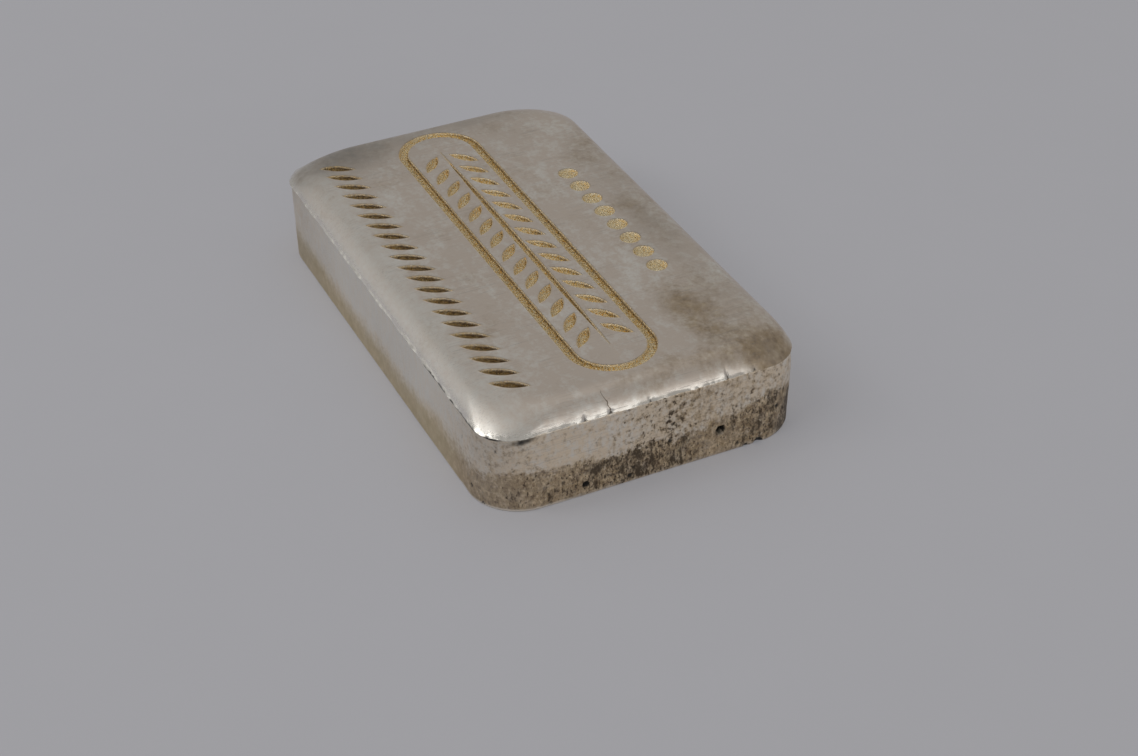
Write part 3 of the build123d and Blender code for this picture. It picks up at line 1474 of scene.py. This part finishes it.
@dataclass
class SilverBar:
    """The whole bar as one mesh, in millimetres."""

    form: BarForm
    finish: "SilverFinish"
    stamps: StampSet = field(default_factory=StampSet)
    stations: Stations = BAR_STATIONS
    wear: Wear = field(default_factory=Wear)
    sharp_angle: float = radians(48.0)
    foot_spacing: float = 1.4
    foot_masks: tuple[tuple[Mask, float], ...] = (
        (Mask.WALL, 1.0), (Mask.FILM, 0.7), (Mask.TARNISH, 0.8), (Mask.SOOT_AND_SHADE, 0.4))
    sheet: Sheet = Sheet()
    seed: int = 3

    def build_foot(self, skin: Skin, edge: Array) -> None:
        """Closes the bar with its flat foot.

        Args:
            skin: Mesh being built. Its first points are the foot's loop.
            edge: x, y rows of that loop.
        """
        count = len(edge)
        outline = self.form.outline(self.form.foot_bevel, self.form.foot_corner_radius)
        along = np.arange(-outline.half_length, outline.half_length, self.foot_spacing)
        across = np.arange(-outline.half_width, outline.half_width, self.foot_spacing)
        grid = np.column_stack([axis.ravel() for axis in np.meshgrid(along, across)])
        grid = grid[outline.distance(grid) < -self.foot_spacing / 2]
        lines = [(here, (here + 1) % count) for here in range(count)]
        flat, index, triangles = self.sheet.triangles(np.vstack((edge, grid)), lines, range(count))
        new = index < 0
        solid = np.column_stack((flat[new], np.zeros(new.sum())))
        masks = {mask: np.full(len(solid), share) for mask, share in self.foot_masks}
        index[new] = skin.add(solid, masks) + np.arange(new.sum())
        skin.cover([face[::-1] for face in triangles], index)

    def build(self) -> bpy.types.Object:
        """Builds the bar and dresses it.

        Returns:
            The bar as one object.
        """
        grain = Grain(self.seed)
        stack = RingStack(self.form, self.stations)
        rings, facings = stack.loops()
        count = self.stations.total()
        top = StampedTop(self.form, self.stamps.marks(self.form), self.wear, grain)
        cast = CastRings(self.form, self.wear, grain, rings.reshape(-1, 3), facings.reshape(-1, 2))
        moved, masks = cast.flawed()
        lifted = ease((moved[:, 2] - self.form.crease_height) / self.form.rim_drop)
        moved[:, 2] += lifted * top.sway(moved[:, :2])
        moved[:, 2] = np.maximum(moved[:, 2], 0.0)
        skin = Skin()
        skin.add(moved, masks)
        edge_first = (len(rings) - 1) * count
        for first in range(0, edge_first, count):
            skin.band(first, first + count, count)
        top.build(skin, moved[edge_first:, :2], edge_first, stack.edge_outline())
        self.build_foot(skin, moved[:count, :2])
        mesh = skin.mesh(f"{NODE}_skin", self.sharp_angle)
        mesh.materials.append(self.finish.material(self.wear))
        bar = bpy.data.objects.new(f"{NODE}_skin", mesh)
        bpy.context.scene.collection.objects.link(bar)
        return bar


@dataclass(frozen=True)
class Noise:
    """Random field in a finish, with lumps in millimetres."""

    lump: float
    detail: float
    rough: float = 0.55
    stretch: tuple[float, float, float] = (1.0, 1.0, 1.0)
    turn: float = 0.0


@dataclass(frozen=True)
class Pattern:
    """Noise that is eased from a start to an end while it goes from a low to a high value."""

    noise: Noise
    low: float
    high: float
    start: float = 0.0
    end: float = 1.0


class NodeBoard:
    """Short way to place and join shader nodes in one material."""

    def __init__(self, name: str) -> None:
        """Starts a material with one surface shader.

        Args:
            name: Name of the material.
        """
        self.material = bpy.data.materials.new(name)
        self.material.use_nodes = True
        self.tree = self.material.node_tree
        self.shader = self.tree.nodes["Principled BSDF"]

    def node(self, kind: str, **settings: object) -> bpy.types.Node:
        """Places a node.

        Args:
            kind: Name of the node's type.
            settings: Properties of the node.

        Returns:
            The node.
        """
        made = self.tree.nodes.new(kind)
        for name, value in settings.items():
            setattr(made, name, value)
        return made

    def feed(self, socket: Socket, value: object) -> None:
        """Links an output to a socket, or sets the socket's own value.

        Args:
            socket: Input of a node.
            value: Output or plain value.
        """
        if isinstance(value, Socket):
            self.tree.links.new(value, socket)
        else:
            socket.default_value = value

    def mask(self, mask: Mask) -> Socket:
        """Output that reads one mask of the mesh."""
        return self.node("ShaderNodeAttribute", attribute_name=mask.value).outputs["Fac"]

    def place(self, stretch: tuple[float, float, float] = (1.0, 1.0, 1.0), turn: float = 0.0) -> Socket:
        """Output with the place on the object.

        Args:
            stretch: Scale along each axis.
            turn: Rotation about the upright axis.

        Returns:
            The place as a vector.
        """
        mapping = self.node("ShaderNodeMapping")
        self.feed(mapping.inputs["Vector"], self.node("ShaderNodeTexCoord").outputs["Object"])
        mapping.inputs["Scale"].default_value = stretch
        mapping.inputs["Rotation"].default_value = (0.0, 0.0, turn)
        return mapping.outputs["Vector"]

    def noise(self, noise: Noise) -> Socket:
        """Output of a random field, from 0 to 1.

        Args:
            noise: Sizes of the field.

        Returns:
            The value.
        """
        made = self.node("ShaderNodeTexNoise", noise_dimensions="3D")
        self.feed(made.inputs["Vector"], self.place(noise.stretch, noise.turn))
        made.inputs["Scale"].default_value = 1.0 / (noise.lump * MM)
        made.inputs["Detail"].default_value = noise.detail
        made.inputs["Roughness"].default_value = noise.rough
        return made.outputs["Fac"]

    def pattern(self, pattern: Pattern) -> Socket:
        """Output of a random pattern, from its start to its end value."""
        value = self.noise(pattern.noise)
        return self.between(value, pattern.low, pattern.high, pattern.start, pattern.end)

    def math(self, kind: str, first: object, second: object = 0.0) -> Socket:
        """Output of an operation on one or two values.

        Args:
            kind: Name of the operation.
            first: First value or output.
            second: Second value or output.

        Returns:
            The result.
        """
        made = self.node("ShaderNodeMath", operation=kind)
        self.feed(made.inputs[0], first)
        self.feed(made.inputs[1], second)
        return made.outputs["Value"]

    def between(self, value: object, low: object, high: object,
                start: object = 0.0, end: object = 1.0) -> Socket:
        """Output that eases from start to end while a value goes from low to high.

        Args:
            value: Value or output.
            low: Value at the start.
            high: Value at the end.
            start: Result at the start.
            end: Result at the end.

        Returns:
            The result.
        """
        made = self.node("ShaderNodeMapRange", interpolation_type="SMOOTHSTEP")
        for name, given in zip(("Value", "From Min", "From Max", "To Min", "To Max"),
                               (value, low, high, start, end)):
            self.feed(made.inputs[name], given)
        return made.outputs["Result"]

    def blend(self, share: object, first: object, second: object) -> Socket:
        """Output that goes from the first colour to the second.

        Args:
            share: Share of the second colour, as a value or output.
            first: First colour or output.
            second: Second colour or output.

        Returns:
            The colour.
        """
        made = self.node("ShaderNodeMix", data_type="RGBA")
        self.feed(made.inputs["Factor"], share)
        self.feed(made.inputs["A"], first)
        self.feed(made.inputs["B"], second)
        return made.outputs["Result"]

    def along(self, origin: tuple[float, ...], direction: tuple[float, ...]) -> Socket:
        """Output with the distance from an origin along a direction.

        Args:
            origin: Place in millimetres.
            direction: Direction of length 1.

        Returns:
            The distance in millimetres.
        """
        offset = self.node("ShaderNodeVectorMath", operation="SUBTRACT")
        self.feed(offset.inputs[0], self.place())
        offset.inputs[1].default_value = [value * MM for value in origin]
        made = self.node("ShaderNodeVectorMath", operation="DOT_PRODUCT")
        self.feed(made.inputs[0], offset.outputs["Vector"])
        made.inputs[1].default_value = [value / MM for value in direction]
        return made.outputs["Value"]

    def dent(self, height: object, distance: float, strength: float, under: Socket | None = None) -> Socket:
        """Output with a normal that a height field tilts.

        Args:
            height: Height from 0 to 1, as an output.
            distance: Height of the field in millimetres.
            strength: Share of the tilt.
            under: Normal to start from.

        Returns:
            The normal.
        """
        made = self.node("ShaderNodeBump")
        made.inputs["Strength"].default_value = strength
        made.inputs["Distance"].default_value = distance * MM
        self.feed(made.inputs["Height"], height)
        if under is not None:
            self.feed(made.inputs["Normal"], under)
        return made.outputs["Normal"]


@dataclass(frozen=True)
class SilverFinish:
    """Worn satin silver with tarnish on its walls and golden toning in its marks, with painted shade,
    highlights and glints.
    """

    name: str = "worn_silver"
    # Colours
    clean: Colour = (0.95, 0.92, 0.85, 1.0)
    film: Colour = (0.77, 0.67, 0.575, 1.0)
    straw: Colour = (0.94, 0.80, 0.62, 1.0)
    pale_tan: Colour = (0.76, 0.615, 0.415, 1.0)
    tan: Colour = (0.48, 0.36, 0.225, 1.0)
    olive: Colour = (0.64, 0.55, 0.365, 1.0)
    brown: Colour = (0.17, 0.108, 0.063, 1.0)
    soot: Colour = (0.055, 0.034, 0.018, 1.0)
    gold: Colour = (0.98, 0.66, 0.22, 1.0)
    pale_gold: Colour = (1.0, 0.86, 0.58, 1.0)
    groove_brown: Colour = (0.13, 0.08, 0.04, 1.0)
    # Near-black colour of the painted shade
    painted_shade_dark: Colour = (0.022, 0.018, 0.014, 1.0)
    grey: Colour = (0.40, 0.365, 0.325, 1.0)
    # Shine, and how strongly wear, the painted highlight, scratches and the painted glints show
    clean_roughness: float = 0.36
    tarnish_roughness: float = 0.58
    worn_roughness: float = 0.19
    groove_shine: float = 0.6
    worn_and_lit_clean: float = 0.6
    scratch_grey: float = 0.3
    speck_dullness: float = 0.6
    glint_dullness: float = 0.95
    # Painted shade in hollows, warm film, grey film, and the painted shade line of the crack
    painted_shade_levels: tuple[float, float] = (0.1, 0.6)
    film_clouds: Pattern = Pattern(Noise(6.0, 5.0), 0.25, 0.75, 0.7, 1.2)
    film_streaks: Pattern = Pattern(Noise(2.2, 5.0, 0.6, (0.3, 1.0, 1.0)), 0.3, 0.7, -0.25, 0.25)
    film_mottle: Pattern = Pattern(Noise(0.9, 6.0, 0.7), 0.3, 0.7, -0.4, 0.4)
    film_lines: Pattern = Pattern(Noise(0.3, 3.0, 0.6, (1.0, 1.0, 0.12)), 0.4, 0.7, -0.1, 0.2)
    grey_clouds: Pattern = Pattern(Noise(3.2, 5.0, 0.6), 0.3, 0.7, 0.65, 1.1)
    crack_wobble: Pattern = Pattern(Noise(0.7, 3.0), 0.3, 0.7, -0.12, 0.12)
    # Edge of the tarnish
    tarnish_crumbs: Pattern = Pattern(Noise(0.6, 6.0, 0.7), 0.25, 0.75, -0.5, 0.5)
    tarnish_clouds: Pattern = Pattern(Noise(4.5, 4.0), 0.4, 0.75, 0.0, 0.35)
    tarnish_levels: tuple[float, float] = (0.1, 0.9)
    crumbs_on_top: float = 0.25
    crumbs_without_soot: float = 0.28
    crumbly_soot: float = 0.4
    # Black specks
    fine_specks: Noise = Noise(0.3, 4.0, 0.65, (1.0, 1.0, 0.6))
    fine_speck_levels: tuple[float, float] = (0.7, 0.49)
    fine_speck_edge: tuple[float, float] = (-0.02, 0.09)
    coarse_specks: Noise = Noise(1.3, 8.0, 0.72, (1.0, 1.0, 0.6))
    coarse_speck_levels: tuple[float, float] = (0.71, 0.46)
    coarse_speck_edge: tuple[float, float] = (-0.02, 0.1)
    speck_tarnish: float = 0.2
    speck_full_soot: float = 0.55
    speck_strength: float = 0.88
    # Colours of the tarnish
    toning_clouds: Pattern = Pattern(Noise(1.6, 6.0, 0.62), 0.3, 0.7, 0.7, 1.0)
    tan_clouds: Pattern = Pattern(Noise(0.9, 5.0, 0.65), 0.3, 0.7, 0.44, 0.58)
    tan_wall_shift: float = 0.045
    tan_crumbs: Noise = Noise(0.5, 6.0, 0.76, (1.0, 1.0, 0.8))
    tan_levels: tuple[float, float] = (0.38, 0.5)
    brown_levels: tuple[float, float] = (0.5, 0.66)
    clean_soot: float = 0.05
    olive_soot: float = 0.3
    olive_share: float = 0.8
    # Beds of the marks, and the painted glints in them
    gold_grains: Pattern = Pattern(Noise(0.2, 3.0, 0.6), 0.44, 0.62)
    groove_dirt: Pattern = Pattern(Noise(0.4, 5.0, 0.65), 0.5, 0.72, 0.0, 0.45)
    glint_spots: Pattern = Pattern(Noise(0.24, 4.0, 0.65), 0.47, 0.56)
    glint_toning: tuple[float, float] = (-0.1, 0.55)
    # Uneven shine and scratches
    uneven_roughness: Pattern = Pattern(Noise(0.9, 4.0), 0.2, 0.8, -0.05, 0.06)
    scratch_lines: tuple[Pattern, ...] = (
        Pattern(Noise(0.14, 2.0, 0.5, (1.0, 0.03, 1.0), 0.5), 0.6, 0.7),
        Pattern(Noise(0.14, 2.0, 0.5, (1.0, 0.04, 1.0), -0.8), 0.6, 0.7),
        Pattern(Noise(0.14, 2.0, 0.5, (1.0, 0.02, 1.0), 1.9), 0.6, 0.7),
    )
    scratch_patches: Pattern = Pattern(Noise(5.0, 2.0), 0.4, 0.6, 0.15, 1.0)
    # Fine relief: height in millimetres and strength of each layer
    satin_grain: Noise = Noise(0.1, 2.0)
    satin_dent: tuple[float, float] = (0.004, 0.5)
    wall_lines: Noise = Noise(0.22, 2.0, 0.5, (1.0, 1.0, 0.05))
    wall_line_dent: tuple[float, float] = (0.02, 0.5)
    scratch_dent: tuple[float, float] = (-0.01, 0.6)
    bed_grain: Noise = Noise(0.2, 3.0, 0.6)
    bed_dent: tuple[float, float] = (0.3, 1.0)
    speck_dent: tuple[float, float] = (-0.05, 0.6)

    def material(self, wear: Wear) -> bpy.types.Material:
        """Builds the finish.

        Args:
            wear: Flaws of the casting.

        Returns:
            The material.
        """
        board = NodeBoard(self.name)
        wall = board.mask(Mask.WALL)
        groove = board.mask(Mask.GROOVE)
        worn = board.mask(Mask.WORN_AND_LIT)
        tarnish = self._ragged(board, wall)
        speckle = self._speckle(board, tarnish)
        scratches = self._scratches(board)
        painted_glints = self._painted_glints(board, groove)
        # Painted shade, near black, in the pits, nicks, crevice under the lip and fold
        painted_shade = board.between(board.mask(Mask.PAINTED_SHADE), *self.painted_shade_levels)
        film = board.blend(wall, self.film, self.straw)
        colour = board.blend(self._film_share(board, wall), self.clean, film)
        colour = board.blend(self._toning(board, tarnish), colour, self._tarnish_colour(board, wall))
        colour = board.blend(self._grey_share(board), colour, self.grey)
        # Clean colour on worn edges, and the painted highlight on the large pit's lower edge
        colour = board.blend(board.math("MULTIPLY", worn, self.worn_and_lit_clean), colour, self.clean)
        colour = board.blend(board.math("MULTIPLY", scratches, self.scratch_grey), colour, self.grey)
        colour = board.blend(speckle, colour, self.soot)
        # Painted shade along the crack
        colour = board.blend(self._crack_shade(board, wear, wall), colour, self.groove_brown)
        colour = board.blend(groove, colour, self._groove_colour(board))
        # Painted glints: pale gold, less metallic spots in the beds
        colour = board.blend(painted_glints, colour, self.pale_gold)
        colour = board.blend(painted_shade, colour, self.painted_shade_dark)
        dull = board.math("MAXIMUM", painted_shade, board.math("MULTIPLY", speckle, self.speck_dullness))
        dull = board.math("MAXIMUM", dull, board.math("MULTIPLY", painted_glints, self.glint_dullness))
        board.feed(board.shader.inputs["Base Color"], colour)
        board.feed(board.shader.inputs["Roughness"], self._roughness(board, tarnish, worn, groove))
        board.feed(board.shader.inputs["Normal"], self._surface(board, wall, groove, speckle, scratches))
        board.feed(board.shader.inputs["Metallic"], board.math("SUBTRACT", 1.0, dull))
        return board.material

    def _film_share(self, board: NodeBoard, wall: Socket) -> Socket:
        """Warm film in soft clouds, with fine upright lines on the walls.

        Args:
            board: Material being built.
            wall: Output with the share of wall.

        Returns:
            Share of the film's colour.
        """
        clouds = board.math("ADD", board.pattern(self.film_clouds), board.pattern(self.film_streaks))
        clouds = board.math("ADD", clouds, board.pattern(self.film_mottle))
        share = board.math("MULTIPLY", board.mask(Mask.FILM), clouds)
        lines = board.math("MULTIPLY", board.pattern(self.film_lines), wall)
        return board.math("ADD", share, lines)

    def _grey_share(self, board: NodeBoard) -> Socket:
        """Share of the smoky grey film, and of the painted dark reflection on the blunt corner, in soft
        clouds.
        """
        return board.math("MULTIPLY", board.mask(Mask.GREY_AND_SHADE), board.pattern(self.grey_clouds))

    def _crack_shade(self, board: NodeBoard, wear: Wear, wall: Socket) -> Socket:
        """Painted shade, a thin dark line along the crack that runs in from the +X end.

        Args:
            board: Material being built.
            wear: Flaws of the casting.
            wall: Output with the share of wall.

        Returns:
            Share of the painted shade's dark colour.
        """
        start = (*wear.crack_start, 0.0)
        way = np.subtract(wear.crack_end, wear.crack_start)
        length = hypot(*way)
        along_x, along_y = way / length
        along = board.along(start, (along_x, along_y, 0.0))
        across = board.along(start, (along_y, -along_x, 0.0))
        across = board.math("ABSOLUTE", board.math("ADD", across, board.pattern(self.crack_wobble)))
        width = board.between(along, 0.0, length, *wear.crack_shade_width)
        line = board.between(across, 0.0, width, 1.0, 0.0)
        line = board.math("MULTIPLY", line, board.between(along, 0.0, length / 3))
        return board.math("MULTIPLY", line, board.between(wall, 0.0, 0.5, 1.0, 0.0))

    def _ragged(self, board: NodeBoard, wall: Socket) -> Socket:
        """Share of tarnish, with a ragged and grainy edge on the walls and clouds on the top.

        Args:
            board: Material being built.
            wall: Output with the share of wall.

        Returns:
            The share of tarnish.
        """
        on_wall = board.between(wall, 0.0, 1.0, self.crumbs_on_top, 1.0)
        crumbs = board.math("MULTIPLY", board.pattern(self.tarnish_crumbs), on_wall)
        sooty = board.between(board.mask(Mask.SOOT_AND_SHADE), 0.0, self.crumbly_soot, self.crumbs_without_soot, 1.0)
        sooty = board.math("MAXIMUM", sooty, board.math("SUBTRACT", 1.0, wall))
        crumbs = board.math("MULTIPLY", crumbs, sooty)
        off_wall = board.between(wall, 0.0, 1.0, 1.0, 0.0)
        clouds = board.math("MULTIPLY", board.pattern(self.tarnish_clouds), off_wall)
        rough = board.math("ADD", board.math("ADD", board.mask(Mask.TARNISH), clouds), crumbs)
        return board.between(rough, *self.tarnish_levels)

    def _speckle(self, board: NodeBoard, tarnish: Socket) -> Socket:
        """Black specks that thicken where the tarnish is sooty and on the painted dark reflection of the
        blunt corner.

        Args:
            board: Material being built.
            tarnish: Output with the share of tarnish.

        Returns:
            Share of black.
        """
        tarnished = board.between(tarnish, self.speck_tarnish, 1.0)
        amount = board.math("MULTIPLY", board.mask(Mask.SOOT_AND_SHADE), tarnished)
        fine = board.math("SUBTRACT", board.noise(self.fine_specks),
                          board.between(amount, 0.0, 1.0, *self.fine_speck_levels))
        coarse = board.math("SUBTRACT", board.noise(self.coarse_specks),
                            board.between(amount, 0.0, 1.0, *self.coarse_speck_levels))
        specks = board.math("MAXIMUM", board.between(fine, *self.fine_speck_edge),
                            board.between(coarse, *self.coarse_speck_edge))
        strength = board.between(amount, 0.0, self.speck_full_soot, 0.0, self.speck_strength)
        return board.math("MULTIPLY", specks, strength)

    def _toning(self, board: NodeBoard, tarnish: Socket) -> Socket:
        """Share of the cloudy brown film over the tarnished places."""
        return board.math("MULTIPLY", tarnish, board.pattern(self.toning_clouds))

    def _tarnish_colour(self, board: NodeBoard, wall: Socket) -> Socket:
        """Tan that crumbles into pale tan and brown on the sooty walls and the painted dark corner, and
        olive on the others.

        Args:
            board: Material being built.
            wall: Output with the share of wall.

        Returns:
            The colour.
        """
        soot = board.mask(Mask.SOOT_AND_SHADE)
        soft = board.math("SUBTRACT", board.pattern(self.tan_clouds),
                          board.math("MULTIPLY", wall, self.tan_wall_shift))
        crumbly = board.math("MULTIPLY", wall, board.between(soot, self.clean_soot, self.crumbly_soot))
        crumbs = board.math("SUBTRACT", board.noise(self.tan_crumbs), soft)
        grain = board.math("ADD", soft, board.math("MULTIPLY", crumbs, crumbly))
        pale = board.blend(board.between(grain, *self.tan_levels), self.pale_tan, self.tan)
        sooty = board.blend(board.between(grain, *self.brown_levels), pale, self.brown)
        thin = board.between(soot, self.clean_soot, self.olive_soot, self.olive_share, 0.0)
        return board.blend(board.math("MULTIPLY", wall, thin), sooty, self.olive)

    def _groove_colour(self, board: NodeBoard) -> Socket:
        """Golden film with pale grains, brown dirt and painted shade in the marks.

        Args:
            board: Material being built.

        Returns:
            The colour.
        """
        toning = board.mask(Mask.DARK)
        pale = board.math("SUBTRACT", board.pattern(self.gold_grains), board.math("MINIMUM", toning, 0.0))
        colour = board.blend(pale, self.gold, self.pale_gold)
        dark = board.math("ADD", board.math("MAXIMUM", toning, 0.0), board.pattern(self.groove_dirt))
        return board.blend(dark, colour, self.groove_brown)

    def _painted_glints(self, board: NodeBoard, groove: Socket) -> Socket:
        """Painted glints, pale spots in the beds of the marks.

        Args:
            board: Material being built.
            groove: Output with the share of marks.

        Returns:
            Share of the painted glints.
        """
        bright = board.between(board.mask(Mask.DARK), *self.glint_toning, 1.0, 0.0)
        grains = board.math("MULTIPLY", board.pattern(self.glint_spots), bright)
        return board.math("MULTIPLY", grains, board.between(groove, 0.5, 1.0))

    def _roughness(self, board: NodeBoard, tarnish: Socket, worn: Socket, groove: Socket) -> Socket:
        """Satin on clean metal, dull on tarnish and smoother on worn edges.

        Args:
            board: Material being built.
            tarnish: Output with the share of tarnish.
            worn: Output with the share of wear.
            groove: Output with the share of marks.

        Returns:
            The roughness.
        """
        dull = board.math("SUBTRACT", tarnish, board.math("MULTIPLY", groove, self.groove_shine))
        spread = self.tarnish_roughness - self.clean_roughness
        rough = board.math("ADD", board.math("MULTIPLY", dull, spread), self.clean_roughness)
        drop = board.math("MULTIPLY", worn, self.clean_roughness - self.worn_roughness)
        rough = board.math("SUBTRACT", rough, drop)
        return board.math("ADD", rough, board.pattern(self.uneven_roughness))

    def _scratches(self, board: NodeBoard) -> Socket:
        """Fine straight scratches that cross each other, thicker in patches.

        Args:
            board: Material being built.

        Returns:
            Share of scratch.
        """
        first, second, third = (board.pattern(line) for line in self.scratch_lines)
        crossed = board.math("MAXIMUM", board.math("MAXIMUM", first, second), third)
        return board.math("MULTIPLY", crossed, board.pattern(self.scratch_patches))

    def _surface(self, board: NodeBoard, wall: Socket, groove: Socket,
                 speckle: Socket, scratches: Socket) -> Socket:
        """Fine grain, wall lines, scratches, sparkling beds and pitted specks.

        Args:
            board: Material being built.
            wall: Output with the share of wall.
            groove: Output with the share of marks.
            speckle: Output with the share of black specks.
            scratches: Output with the share of scratch.

        Returns:
            The normal.
        """
        normal = board.dent(board.noise(self.satin_grain), *self.satin_dent)
        lines = board.math("MULTIPLY", board.noise(self.wall_lines), wall)
        normal = board.dent(lines, *self.wall_line_dent, normal)
        normal = board.dent(scratches, *self.scratch_dent, normal)
        beds = board.math("MULTIPLY", board.noise(self.bed_grain), groove)
        normal = board.dent(beds, *self.bed_dent, normal)
        return board.dent(speckle, *self.speck_dent, normal)


@dataclass(frozen=True)
class FloorFinish:
    """Plain pale grey matt floor."""

    name: str = "grey_floor"
    colour: Colour = (0.45, 0.447, 0.47, 1.0)
    mottled: Colour = (0.435, 0.432, 0.455, 1.0)
    mottle: Noise = Noise(14.0, 3.0)
    roughness: float = 0.85
    sheen: float = 0.1
    glow: Colour = (0.63, 0.625, 0.66, 1.0)
    glow_strength: float = 0.2

    def material(self) -> bpy.types.Material:
        """Builds the finish, with a pale glow that only views and reflections of the floor show.

        Returns:
            The material.
        """
        board = NodeBoard(self.name)
        colour = board.blend(board.noise(self.mottle), self.colour, self.mottled)
        board.feed(board.shader.inputs["Base Color"], colour)
        board.shader.inputs["Roughness"].default_value = self.roughness
        board.shader.inputs["Specular IOR Level"].default_value = self.sheen
        path = board.node("ShaderNodeLightPath")
        seen = board.math("MAXIMUM", path.outputs["Is Camera Ray"], path.outputs["Is Glossy Ray"])
        seen = board.math("MAXIMUM", seen, path.outputs["Is Transmission Ray"])
        board.shader.inputs["Emission Color"].default_value = self.glow
        strength = board.math("MULTIPLY", seen, self.glow_strength)
        board.feed(board.shader.inputs["Emission Strength"], strength)
        return board.material


@dataclass(frozen=True)
class Lamp:
    """Soft oblong lamp that faces the middle of the bar, in metres and watts."""

    name: str
    place: tuple[float, float, float]
    size: tuple[float, float]
    power: float

    def build(self) -> None:
        """Adds the lamp to the scene."""
        data = bpy.data.lights.new(self.name, "AREA")
        data.shape = "RECTANGLE"
        data.size, data.size_y = self.size
        data.energy = self.power
        lamp = bpy.data.objects.new(self.name, data)
        back = np.array(self.place) / np.linalg.norm(self.place)
        side = np.cross((0.0, 0.0, 1.0), back)
        side = side / np.linalg.norm(side)
        turn = np.column_stack((side, np.cross(back, side), back))
        lamp.matrix_world = Matrix.Translation(self.place) @ Matrix(turn.tolist()).to_4x4()
        bpy.context.scene.collection.objects.link(lamp)


@dataclass(frozen=True)
class Studio:
    """Floor, lamps and grey surroundings."""

    floor_half: float = 1.5
    floor_finish: FloorFinish = FloorFinish()
    surround: Colour = (0.345, 0.345, 0.345, 1.0)
    lamps: tuple[Lamp, ...] = (
        Lamp("main_lamp", (0.028, -0.803, 0.958), (0.78, 0.6), 1.6),
        Lamp("low_lamp", (1.12, 0.10, 0.34), (1.3, 0.35), 0.98),
        Lamp("side_lamp", (-0.4, -0.966, 0.685), (0.45, 0.5), 0.85),
        Lamp("edge_lamp", (-0.727, -1.038, 0.18), (0.8, 0.3), 0.16),
        Lamp("high_lamp", (-0.25, 0.43, 1.15), (0.9, 0.9), 0.3),
    )

    def build(self) -> bpy.types.Object:
        """Builds the studio.

        Returns:
            The floor.
        """
        half = self.floor_half
        mesh = bpy.data.meshes.new("floor")
        corners = [(-half, -half, 0.0), (half, -half, 0.0), (half, half, 0.0), (-half, half, 0.0)]
        mesh.from_pydata(corners, [], [(0, 1, 2, 3)])
        mesh.materials.append(self.floor_finish.material())
        floor = bpy.data.objects.new("floor", mesh)
        bpy.context.scene.collection.objects.link(floor)
        for lamp in self.lamps:
            lamp.build()
        world = bpy.data.worlds.new("surround")
        world.use_nodes = True
        world.node_tree.nodes["Background"].inputs["Color"].default_value = self.surround
        bpy.context.scene.world = world
        return floor


@dataclass(frozen=True)
class Viewpoint:
    """Camera at the photograph's viewing angle, in metres, with its lens in millimetres."""

    target: tuple[float, float] = (0.011965, -0.000248)
    azimuth: float = radians(65.108)
    elevation: float = radians(35.069)
    distance: float = 0.24993
    roll: float = radians(-1.046)
    lens: float = 67.846
    sensor: float = 36.0
    nearest: float = 0.01

    def build(self) -> bpy.types.Object:
        """Adds the camera to the scene.

        Returns:
            The camera.
        """
        level = cos(self.elevation)
        back = np.array((sin(self.azimuth) * level, -cos(self.azimuth) * level, sin(self.elevation)))
        right = np.cross(-back, (0.0, 0.0, 1.0))
        right = right / np.linalg.norm(right)
        up = np.cross(right, -back)
        tilted_right = cos(self.roll) * right + sin(self.roll) * up
        tilted_up = cos(self.roll) * up - sin(self.roll) * right
        data = bpy.data.cameras.new("camera")
        data.lens = self.lens
        data.sensor_width = self.sensor
        data.sensor_fit = "HORIZONTAL"
        data.clip_start = self.nearest
        camera = bpy.data.objects.new("camera", data)
        eye = np.array((*self.target, 0.0)) + self.distance * back
        turn = np.column_stack((tilted_right, tilted_up, back))
        camera.matrix_world = Matrix.Translation(eye) @ Matrix(turn.tolist()).to_4x4()
        bpy.context.scene.collection.objects.link(camera)
        bpy.context.scene.camera = camera
        return camera


def bar_form() -> BarForm:
    """Takes the bar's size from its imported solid."""
    low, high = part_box(NODE)
    return BarForm(*((high - low) / MM))


def main() -> None:
    """Builds the bar, the studio and the camera."""
    logging.basicConfig(level=logging.INFO, format="%(name)s: %(message)s")
    bpy.context.scene.view_settings.view_transform = "Standard"
    bar = SilverBar(bar_form(), SilverFinish()).build()
    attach(bar, BODY)
    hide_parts(NODE)
    triangles = sum(len(face.vertices) - 2 for face in bar.data.polygons)
    LOG.info("%s: %d points, %d triangles", bar.name, len(bar.data.vertices), triangles)
    floor = Studio().build()
    LOG.info("%s: plain stage", floor.name)
    camera = Viewpoint().build()
    LOG.info("%s: lens %.1f mm", camera.name, camera.data.lens)


if __name__ == "__main__":
    main()
